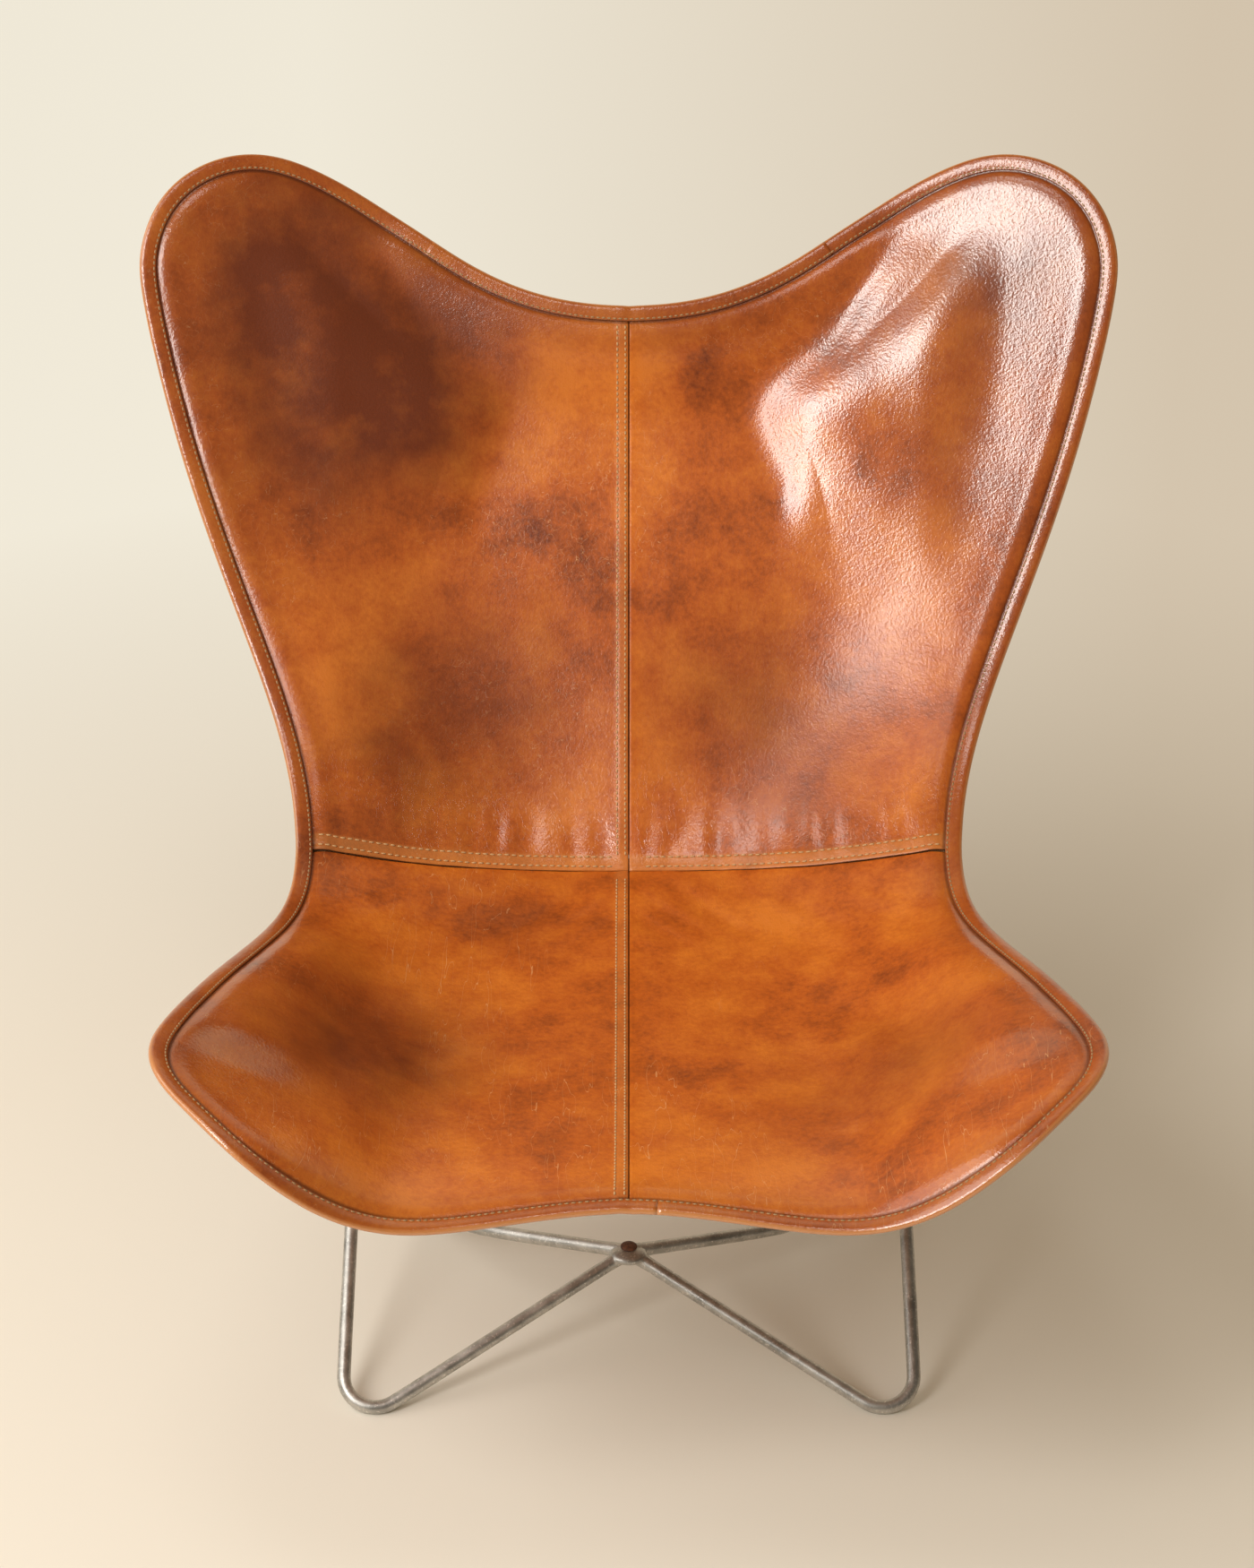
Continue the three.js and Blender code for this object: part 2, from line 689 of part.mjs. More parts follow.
const topCentreIndex = leftEdge.length - 1;
const topReach = leftEdge.filter((r) => r.p.z > WAIST_EDGE_Z && -r.p.x <= TOP_JOIN_X).length;
const leftJoin = topCentreIndex - topReach + 1;
const rightJoin = topCentreIndex + topReach - 1;
const frontJoin = wholeEdge.length - 1;
const leftRun = [wholeEdge[frontJoin], ...wholeEdge.slice(0, leftJoin + 1)];
const topRun = wholeEdge.slice(leftJoin, rightJoin + 1);
const rightRun = wholeEdge.slice(rightJoin, frontJoin + 1);

// A strip under a seam: rows of points below the leather, two on the panels and one on the seam.
function strip(rows) {
  const drop = -(LEATHER / 2 + STRIP_CLEARANCE);
  const rings = rows.map((row) => {
    const upper = row.map(({ p, n, share }) => p.clone().addScaledVector(n, drop * share));
    const lower = row.map(({ p, n, share }) =>
      p.clone().addScaledVector(n, (drop - STRIP_THICKNESS) * share),
    );
    return [...upper, ...lower.reverse()];
  });
  const last = rings[0].length - 1;
  const cap = [];
  for (let k = 0; k + 1 < rows[0].length; k++) {
    cap.push([k, k + 1, last - k - 1], [k, last - k - 1, last - k]);
  }
  return loft(rings, cap);
}

// Points of the waist strip over one column of the two grids.
function waistRow(i, side) {
  const seam = backLeft.grid[0][i];
  const n = seamNormals[i];
  const upWay = step(seam, backLeft.grid[1][i]);
  const downWay = step(seam, seatLeft.grid[1][i]);
  const waistLine = backLeft.grid[0];
  const across = step(waistLine[Math.max(i - 1, 0)], waistLine[Math.min(i + 1, PANEL_ACROSS)]);
  if (i === 0) across.set(-1, 0, 0);
  const sitter = (v) => (v.dot(n) < 0 ? v.negate() : v);
  const upNormal = sitter(across.clone().cross(upWay).normalize());
  const downNormal = sitter(across.clone().cross(downWay).normalize());
  const row = [
    { p: seam.clone().addScaledVector(upWay, STRIP_HALF_WIDTH), n: upNormal, share: 1 },
    { p: seam.clone(), n, share: 1 / Math.max(n.dot(upNormal), STRIP_FOLD_LIMIT) },
    { p: seam.clone().addScaledVector(downWay, STRIP_HALF_WIDTH), n: downNormal, share: 1 },
  ];
  if (side < 0) return row;
  return row.map((r) => ({ p: mirrored(r.p), n: mirrored(r.n), share: r.share }));
}

// Points of a centre strip over one row of a grid, from left to right.
function centreRow(grid, normals, j) {
  const middle = grid[j][0];
  const way = step(middle, grid[j][1]);
  const n = normals[j][0];
  const slope = squareTo(n, way);
  const left = middle.clone().addScaledVector(way, STRIP_HALF_WIDTH);
  return [
    { p: left, n: slope, share: 1 },
    { p: middle.clone(), n, share: 1 / Math.max(n.dot(slope), STRIP_FOLD_LIMIT) },
    { p: mirrored(left), n: mirrored(slope), share: 1 },
  ];
}

// A centre strip that starts clear of the waist strip.
function centreStrip(grid, normals, count) {
  const rows = [];
  for (let j = 0; j <= count; j++) rows.push(centreRow(grid, normals, j));
  const clear = (STRIP_HALF_WIDTH + STRIP_END_GAP) / grid[0][0].distanceTo(grid[1][0]);
  rows[0] = rows[0].map((r, k) => ({
    p: along(r.p, rows[1][k].p, clear),
    n: rows[1][k].n,
    share: rows[1][k].share,
  }));
  return strip(rows);
}

// A pocket under a lobe: flat below the bar and sewn up to the leather outside it.
function pocket(finger, lobeEnd, side) {
  const sewn = finger.radius + EDGE_OVERHANG - BINDING_WIDTH - POCKET_MARGIN;
  const floor = -(barRadius + POCKET_CLEARANCE + POCKET_LEATHER / 2);
  const seat = lift - LEATHER / 2 - POCKET_DROP - POCKET_LEATHER / 2;
  const foldStart = finger.radius + barRadius * POCKET_FOLD;
  const rise = (r) => floor + (seat - floor) * smooth((r - foldStart) / (sewn - foldStart));
  const radii = [];
  for (let k = 1; k <= POCKET_FLAT_RINGS; k++) radii.push((foldStart * k) / POCKET_FLAT_RINGS);
  for (let k = 1; k <= POCKET_FOLD_RINGS; k++) {
    radii.push(foldStart + ((sewn - foldStart) * k) / POCKET_FOLD_RINGS);
  }
  const layer = (offset) => {
    const points = [finger.centre.clone().addScaledVector(finger.normal, floor + offset)];
    for (let s = 0; s <= POCKET_SECTORS; s++) {
      for (const r of radii) {
        points.push(finger.onArch((lobeEnd * s) / POCKET_SECTORS, r, rise(r) + offset));
      }
    }
    return side > 0 ? points.map(mirrored) : points;
  };
  const upper = layer(POCKET_LEATHER / 2);
  const lower = layer(-POCKET_LEATHER / 2);
  const below = upper.length;
  const at = (s, k) => 1 + s * radii.length + k;
  const faces = [];
  for (let s = 0; s < POCKET_SECTORS; s++) {
    faces.push([0, at(s, 0), at(s + 1, 0)]);
    for (let k = 0; k + 1 < radii.length; k++) {
      faces.push([at(s, k), at(s, k + 1), at(s + 1, k + 1)]);
      faces.push([at(s, k), at(s + 1, k + 1), at(s + 1, k)]);
    }
  }
  const border = [0];
  for (let k = 0; k < radii.length; k++) border.push(at(0, k));
  for (let s = 1; s <= POCKET_SECTORS; s++) border.push(at(s, radii.length - 1));
  for (let k = radii.length - 2; k >= 0; k--) border.push(at(POCKET_SECTORS, k));
  const triangles = faces.flatMap(([a, b, c]) => [
    [a, b, c],
    [a + below, c + below, b + below],
  ]);
  border.forEach((a, k) => {
    const b = border[(k + 1) % border.length];
    triangles.push([b, a, a + below], [b, a + below, b + below]);
  });
  return body([...upper, ...lower], triangles);
}

// Hubs turned about the vertical: a domed drum below the seat and a ball behind it.
function lowerHubBody() {
  const h = LOWER_HUB_HEIGHT / 2;
  const r = LOWER_HUB_RADIUS;
  const profile = [
    [0, -h],
    [r * LOWER_HUB_FOOT, -h],
    [r, -h * LOWER_HUB_CROWN],
    [r, h * LOWER_HUB_CROWN],
    [r * LOWER_HUB_FOOT, h],
    [0, h],
  ].map(([x, y]) => new THREE.Vector2(x, y));
  return new THREE.LatheGeometry(profile, HUB_SIDES).rotateX(Math.PI / 2).translate(
    lowerHub.x,
    lowerHub.y,
    lowerHub.z,
  );
}

function upperHubBody() {
  const ball = new THREE.SphereGeometry(UPPER_HUB_RADIUS, HUB_SIDES, HUB_SIDES / 2);
  return ball.rotateX(Math.PI / 2).translate(upperHub.x, upperHub.y, upperHub.z);
}

const steel = new THREE.MeshStandardMaterial({ color: 0x8b8d8c, roughness: 0.42, metalness: 0.9 });
const leather = new THREE.MeshStandardMaterial({ color: 0x9a5a2c, roughness: 0.45, metalness: 0 });
const edging = new THREE.MeshStandardMaterial({ color: 0xb2733c, roughness: 0.5, metalness: 0 });
const lining = new THREE.MeshStandardMaterial({ color: 0xa9713f, roughness: 0.8, metalness: 0 });

const chair = new THREE.Group();
chair.name = "butterfly_sling_chair";
function add(name, geometry, material) {
  const mesh = new THREE.Mesh(geometry, material);
  mesh.name = name;
  chair.add(mesh);
}

const earPath = standingPath(ear, earBend, FRONT_FOOT_X, FRONT_FOOT_Y);
const hornPath = standingPath(horn, hornBend, BACK_FOOT_X, BACK_FOOT_Y, crossBend);
for (const [side, name] of [
  [-1, "left"],
  [1, "right"],
]) {
  const turned = (path) => (side > 0 ? path.map(mirrored) : path);
  add(`ear_bar_${name}`, bar(turned(earPath)), steel);
  add(`horn_bar_${name}`, bar(turned(hornPath)), steel);
  add(`back_panel_${name}`, panelBody(backLeft, backNormals, backRim, side), leather);
  add(`seat_panel_${name}`, panelBody(seatLeft, seatNormals, seatRim, side), leather);
  add(`ear_pocket_${name}`, pocket(ear, EAR_POCKET_SHARE, side), lining);
  add(`horn_pocket_${name}`, pocket(horn, HORN_POCKET_SHARE, side), lining);
}
add("lower_hub", lowerHubBody(), steel);
add("upper_hub", upperHubBody(), steel);
add("left_binding", binding(leftRun), edging);
add("top_binding", binding(topRun), edging);
add("right_binding", binding(rightRun), edging);

const waistRows = [];
for (let i = PANEL_ACROSS; i >= 0; i--) waistRows.push(waistRow(i, -1));
for (let i = 1; i <= PANEL_ACROSS; i++) waistRows.push(waistRow(i, 1));
add("waist_strip", strip(waistRows), lining);
add("back_seam_strip", centreStrip(backLeft.grid, backNormals, BACK_ALONG), lining);
add("seat_seam_strip", centreStrip(seatLeft.grid, seatNormals, SEAT_ALONG), lining);

// The origin is under the middle of the chair, on the floor.
const box = new THREE.Box3().setFromObject(chair);
const middle = box.getCenter(vec(0, 0, 0));
for (const mesh of chair.children) mesh.geometry.translate(-middle.x, -middle.y, -box.min.z);

export default chair;
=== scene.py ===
"""Dresses the butterfly sling chair: leather sling, sewn bindings, bent steel rods and a plain studio."""

import functools
import math

import bmesh
import bpy
import numpy as np
from mathutils import Matrix, Vector, noise
from mathutils.bvhtree import BVHTree


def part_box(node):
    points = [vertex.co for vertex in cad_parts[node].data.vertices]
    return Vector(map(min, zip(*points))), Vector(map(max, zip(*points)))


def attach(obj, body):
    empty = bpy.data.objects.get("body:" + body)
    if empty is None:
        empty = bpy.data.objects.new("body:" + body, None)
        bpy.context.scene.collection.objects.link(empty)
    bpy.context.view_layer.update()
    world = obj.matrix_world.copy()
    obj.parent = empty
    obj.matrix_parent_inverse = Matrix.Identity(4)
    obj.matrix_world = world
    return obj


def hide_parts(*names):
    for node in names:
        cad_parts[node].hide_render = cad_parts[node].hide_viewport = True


bl_info = {
    "name": "Butterfly Sling Chair",
    "version": (1, 0, 0),
    "blender": (4, 5, 0),
    "location": "View3D > Sidebar > Sling Chair",
    "description": "Dresses the frame of a butterfly sling chair in leather and steel",
    "category": "Object",
}

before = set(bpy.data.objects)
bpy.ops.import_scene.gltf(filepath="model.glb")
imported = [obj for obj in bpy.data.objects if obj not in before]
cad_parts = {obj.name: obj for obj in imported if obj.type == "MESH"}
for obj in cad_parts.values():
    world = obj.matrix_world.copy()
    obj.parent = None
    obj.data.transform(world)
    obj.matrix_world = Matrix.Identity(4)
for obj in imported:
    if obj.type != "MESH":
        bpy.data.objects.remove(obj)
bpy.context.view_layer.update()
BODY = "root"
MM = 0.001
CORNERS = [("ear", "left"), ("ear", "right"), ("horn", "left"), ("horn", "right")]
CENTRE_ROWS = (3.0, 10.4)  # millimetres from the centre seam to its two stitch rows
WAIST_ROWS = (4.6, 13.5)  # millimetres from the waist seam to its two stitch rows
# Dark clouds in the hide, partly real tone and partly painted shade, the deepest on the left ear, which faces
# away from the light: x, then z on the back or y on the seat, and size, in millimetres; depth up to 1
BACK_CLOUDS_AND_SHADE = [
    (-320, 800, 110, 0.95),
    (355, 800, 90, 0.80),
    (225, 735, 45, 0.40),
    (320, 640, 70, 0.40),
    (80, 440, 70, 0.30),
    (-200, 690, 85, 0.80),
    (-300, 650, 95, 0.50),
    (-110, 760, 70, 0.30),
    (-110, 450, 85, 0.45),
    (-210, 430, 75, 0.60),
    (70, 770, 70, 0.35),
    (150, 430, 70, 0.35),
]
SEAT_CLOUDS_AND_SHADE = [
    (-215, -200, 95, 0.80),
    (-240, -270, 70, 0.30),
    (-330, -330, 70, 0.45),
    (225, -260, 90, 0.40),
    (-110, 20, 55, 0.30),
]
# The wing's crease has two runs: a point on each and its direction across, in x and z of the right side
WING_RUNS = [((145, 717), (0.672, -0.74)), ((130, 634), (0.94, 0.35))]
# Slope of the wing across its crease: millimetres past the crease, and rise per millimetre
WING_SLOPE = [(-12, 0), (12, 0.48), (36, 0.46), (52, 0.28), (90, 0), (140, -0.17), (210, 0)]
# Heights of the drape, in millimetres
BODY_RISE = 3.0
LOBE_DEPTH = 4.0
CROWN_RISE = 8.0
GATHER_RISE = 1.7
CREASE_RISE = 1.5
SITTER = (0, -0.6, 0.8)  # the way that the sling faces
SLACK = 0.3  # how freely the smooth surface leaves the solid's points
# Distances of a panel's outer rings from its outline, in millimetres, and the number of rings inside them
EDGE_RINGS = np.array(
    [0, 0.6, 1.3, 2.2, 3.4, 4.6, 5.8, 7, 8, 9, 10.2, 11.4, 12.4, 13.4, 14.6, 16.2, 18.4, 21]
)
INNER_RINGS = 56
LINE_STEP = 3.5  # millimetres between the points of a panel's seams and edge
ROD_STEP = 5.0  # millimetres between the rings of a rod
ROD_SIDES = 28
ROLL_DEPTH = 0.9  # millimetres that a seam's edge rolls down
EDGE_ROW_INSET = 8.9  # millimetres from the sling's edge to the binding's stitch rows
EDGE_ROW_RISE = 3.15  # millimetres from the leather's middle to the same rows
STITCH_LIFT = 0.3  # millimetres that the seams' stitches stand off the leather
TOP_EDGE = 600  # height in millimetres above which an edge counts as the back's
# Section of the folded binding: millimetres across the edge at a width of 15, and share of its height
BINDING_SECTION = [
    (11.2, 0.56),
    (10.9, 0.81),
    (9.9, 0.89),
    (8.9, 0.85),
    (7.6, 0.945),
    (5.0, 1.0),
    (2.0, 1.0),
    (-0.6, 0.917),
    (-2.4, 0.70),
    (-3.5, 0.36),
]
# Section of the strips under the seams, in millimetres
STRIP_SECTION = [(-14, -0.8), (0, -0.8), (14, -0.8), (14.4, 0), (14, 0.8), (0, 0.8), (-14, 0.8), (-14.4, 0)]
# The welds, in metres: reach up each rod, fineness, and half sizes of the web in front and of the rusty plug
WELD_REACH = 0.030
WELD_VOXEL = 0.0008
WEB_PLACE = Vector((0, -0.004, -0.0005))
WEB_SIZE = (0.017, 0.013, 0.006)
PLUG_SIZE = (0.0075, 0.0070, 0.0026)
# Colours of worn, rubbed and rusted spots
SCRATCHED = (0.78, 0.42, 0.18)
PRESSED = (0.64, 0.27, 0.075)
RUBBED = (0.60, 0.26, 0.085)
RUST_DARK, RUST = (0.035, 0.012, 0.006), (0.16, 0.055, 0.022)
# The studio, in metres: the camera's aim, and each lamp's place from there and its size
AIM_HEIGHT = 0.45
AIM_FROM_HUB = 0.189
LAMPS = {
    "key": ((-3.3, -0.25, 2.4), (3.6, 2.8)),
    "window": ((-1.62, -1.80, 1.76), (0.8, 2.2)),
    "top": ((-0.4, -0.5, 2.5), (0.9, 0.5)),
}
LAMP_COLOUR = (1.0, 0.965, 0.915)
SKY_COLOUR = (1.0, 0.82, 0.60, 1)
GLOSS_SHARE = 0.15  # share of the room's light that gloss sees
WALL_LIGHT, FAR_LIGHT = 0.8, 0.85  # of the wall behind the chair, and of the empty distance
# Glow colours of the far floor: painted light falloff from the left lamp, lit at the left and dim at the
# right
FLOOR_PAINTED_LIT, FLOOR_PAINTED_DIM = (0.90, 0.845, 0.715), (0.67, 0.565, 0.43)
FLOOR_FADE = (0.75, 1.9)  # metres from the chair where the floor turns into plain ground
CAMERA_SHIFT = -2 / 1750


class ChairSizes(bpy.types.PropertyGroup):
    """Sizes of the sewn and bent pieces."""

    leather: bpy.props.FloatProperty(
        name="Leather", description="Thickness of the sling's leather", default=0.0036, unit="LENGTH"
    )
    binding_width: bpy.props.FloatProperty(
        name="Binding width", description="Width of the folded edge binding", default=0.015, unit="LENGTH"
    )
    binding_leather: bpy.props.FloatProperty(
        name="Binding leather", description="Thickness of its leather", default=0.00165, unit="LENGTH"
    )
    edge_stitch: bpy.props.FloatProperty(
        name="Edge stitch", description="Pitch of the binding's stitches", default=0.0052, unit="LENGTH"
    )
    seam_stitch: bpy.props.FloatProperty(
        name="Seam stitch", description="Pitch of the centre seam's stitches", default=0.0052, unit="LENGTH"
    )
    waist_stitch: bpy.props.FloatProperty(
        name="Waist stitch", description="Pitch of the waist seam's stitches", default=0.0066, unit="LENGTH"
    )
    thread: bpy.props.FloatProperty(
        name="Thread", description="Thickness of the sewing thread", default=0.0015, unit="LENGTH"
    )
    rod: bpy.props.FloatProperty(
        name="Rod", description="Diameter of the steel rod", default=0.012, unit="LENGTH"
    )


class ChairColours(bpy.types.PropertyGroup):
    """Colours of the leather, the thread, the steel and the floor."""

    leather_light: bpy.props.FloatVectorProperty(
        name="Leather light", description="Worn leather", subtype="COLOR", default=(0.68, 0.192, 0.0155)
    )
    leather_mid: bpy.props.FloatVectorProperty(
        name="Leather mid", description="Main leather", subtype="COLOR", default=(0.50, 0.106, 0.0078)
    )
    leather_dark: bpy.props.FloatVectorProperty(
        name="Leather dark", description="Clouds in the hide", subtype="COLOR", default=(0.15, 0.026, 0.0035)
    )
    lining: bpy.props.FloatVectorProperty(
        name="Lining", description="Flesh side of the leather", subtype="COLOR", default=(0.42, 0.20, 0.085)
    )
    thread: bpy.props.FloatVectorProperty(
        name="Thread", description="Sewing thread", subtype="COLOR", default=(0.74, 0.45, 0.21)
    )
    steel: bpy.props.FloatVectorProperty(
        name="Steel", description="Raw steel rod", subtype="COLOR", default=(0.62, 0.60, 0.56)
    )
    floor: bpy.props.FloatVectorProperty(
        name="Floor", description="Studio floor", subtype="COLOR", default=(0.83, 0.79, 0.71)
    )


class ChairStudio(bpy.types.PropertyGroup):
    """The camera and the lamps."""

    elevation: bpy.props.FloatProperty(
        name="Elevation",
        description="Camera's height above the horizon",
        default=math.radians(30),
        unit="ROTATION",
    )
    distance: bpy.props.FloatProperty(
        name="Distance", description="From the camera to the middle of the chair", default=2.8, unit="LENGTH"
    )
    lens: bpy.props.FloatProperty(name="Lens", description="Focal length in millimetres", default=72.72)
    key: bpy.props.FloatProperty(
        name="Key lamp", description="Power of the main lamp", default=65.0, unit="POWER"
    )
    fill: bpy.props.FloatProperty(
        name="Window", description="Power of the tall lamp in front", default=53.0, unit="POWER"
    )
    top: bpy.props.FloatProperty(
        name="Top lamp", description="Power of the lamp above", default=5.0, unit="POWER"
    )
    sky: bpy.props.FloatProperty(
        name="Room light", description="Strength of the light all round", default=0.46
    )


def sizes():
    return bpy.context.scene.chair_sizes


def colours():
    return bpy.context.scene.chair_colours


def studio():
    return bpy.context.scene.chair_studio


# Small maths on rows of points


def unit(v):
    return v / np.maximum(np.linalg.norm(v, axis=-1, keepdims=True), 1e-12)


def square_to(v, axis):
    return unit(v - np.sum(v * axis, axis=-1, keepdims=True) * axis)


def smooth(t):
    t = np.clip(t, 0, 1)
    return t * t * (3 - 2 * t)


def bump(distance, width):
    return np.exp(-((distance / width) ** 2))


def headings(line):
    return unit(np.gradient(line, axis=0))


def shade(colour, share):
    return tuple(min(1, x * share) for x in colour)


def lengths_of(points):
    return np.concatenate([[0], np.cumsum(np.linalg.norm(np.diff(points, axis=0), axis=1))])


def resampled(points, spacing):
    """A polyline with even steps of about the given spacing."""
    far = lengths_of(points)
    count = max(2, int(round(far[-1] / spacing)))
    at = np.linspace(0, far[-1], count + 1)
    return np.stack([np.interp(at, far, points[:, k]) for k in range(points.shape[1])], axis=1)


def through(points, spacing):
    """A smooth curve through the points, with even steps."""
    ends = np.vstack([2 * points[0] - points[1], points, 2 * points[-1] - points[-2]])
    fine = []
    for k in range(1, len(ends) - 2):
        p0, p1, p2, p3 = ends[k - 1 : k + 3]
        d0, d1, d2 = (max(np.linalg.norm(b - a), 1e-9) ** 0.5 for a, b in ((p0, p1), (p1, p2), (p2, p3)))
        m1 = d1 * ((p1 - p0) / d0 - (p2 - p0) / (d0 + d1) + (p2 - p1) / d1)
        m2 = d1 * ((p2 - p1) / d1 - (p3 - p1) / (d1 + d2) + (p3 - p2) / d2)
        t = np.linspace(0, 1, 24, endpoint=False)[:, None]
        near = p1 * (2 * t**3 - 3 * t**2 + 1) + m1 * (t**3 - 2 * t**2 + t)
        fine.append(near + p2 * (3 * t**2 - 2 * t**3) + m2 * (t**3 - t**2))
    return resampled(np.vstack([*fine, points[-1:]]), spacing)


def softened(rows, passes):
    """Rows of vectors averaged with their neighbours, ends kept."""
    for _ in range(passes):
        rows[1:-1] = (rows[:-2] + 2 * rows[1:-1] + rows[2:]) / 4
    return rows


def waves(p, scale):
    """Slow unevenness, from -1 to 1."""
    return np.array([noise.noise(Vector(x) * scale) for x in p])


def seam_band(gap, width):
    """A doubled band beside a seam, pressed in at its stitch row."""
    return 0.6 * smooth((width + 3.4 - gap) / 4.5) - 0.25 * bump(gap - width, 1.5)


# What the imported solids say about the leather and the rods


def middle_of(node):
    low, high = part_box(node)
    return (low + high) / 2


def merged_copy(node):
    bm = bmesh.new()
    bm.from_mesh(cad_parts[node].data)
    bmesh.ops.remove_doubles(bm, verts=bm.verts, dist=1e-6)
    return bm


def sitter_side(node):
    """The points of a leather solid's sitter side and its border in order, in millimetres."""
    bm = merged_copy(node)
    facing = Vector(SITTER)
    start = max(bm.faces, key=lambda f: f.normal.dot(facing) * f.calc_area())
    kept, wave = {start}, [start]
    while wave:
        face = wave.pop()
        for edge in face.edges:
            for other in edge.link_faces:
                if other not in kept and edge.calc_face_angle(0) < math.radians(45):
                    kept.add(other)
                    wave.append(other)
    bmesh.ops.delete(bm, geom=[f for f in bm.faces if f not in kept], context="FACES")
    points = np.array([v.co for v in bm.verts]) / MM
    ids = {v: k for k, v in enumerate(bm.verts)}
    border = [e for e in bm.edges if len(e.link_faces) == 1]
    nexts = {}
    for e in border:
        for a, b in ((e.verts[0], e.verts[1]), (e.verts[1], e.verts[0])):
            nexts.setdefault(ids[a], []).append(ids[b])
    loop = [ids[border[0].verts[0]]]
    while True:
        onward = [k for k in nexts[loop[-1]] if len(loop) < 2 or k != loop[-2]]
        if onward[0] == loop[0]:
            break
        loop.append(onward[0])
    bm.free()
    return points, points[loop]


def rod_line(node):
    """The centre line of a bent rod's solid, from its lower end, in millimetres."""
    bm = merged_copy(node)
    hub = middle_of("lower_hub")
    near = min(bm.verts, key=lambda v: (v.co - hub).length)
    cap = max(near.link_faces, key=lambda f: -f.normal.dot((f.calc_center_median() - hub).normalized()))
    flush = [f for f in bm.faces if f.normal.angle(cap.normal) < 0.02]
    ring = {v for f in flush for v in f.verts if (v.co - near.co).length < 0.02}
    seen, line = set(ring), []
    while ring:
        line.append(np.mean([v.co for v in ring], axis=0) / MM)
        ring = {e.other_vert(v) for v in ring for e in v.link_edges} - seen
        seen |= ring
    bm.free()
    return np.array(line)


@functools.lru_cache
def frame_tree(side):
    """A search tree of the bars and pockets on one side."""
    verts, faces = [], []
    for node in (f"{part}_{kind}_{side}" for part in ("ear", "horn") for kind in ("bar", "pocket")):
        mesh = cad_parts[node].data
        base = len(verts)
        verts += [v.co.copy() for v in mesh.vertices]
        faces += [[base + k for k in p.vertices] for p in mesh.polygons]
    return BVHTree.FromPolygons(verts, faces)


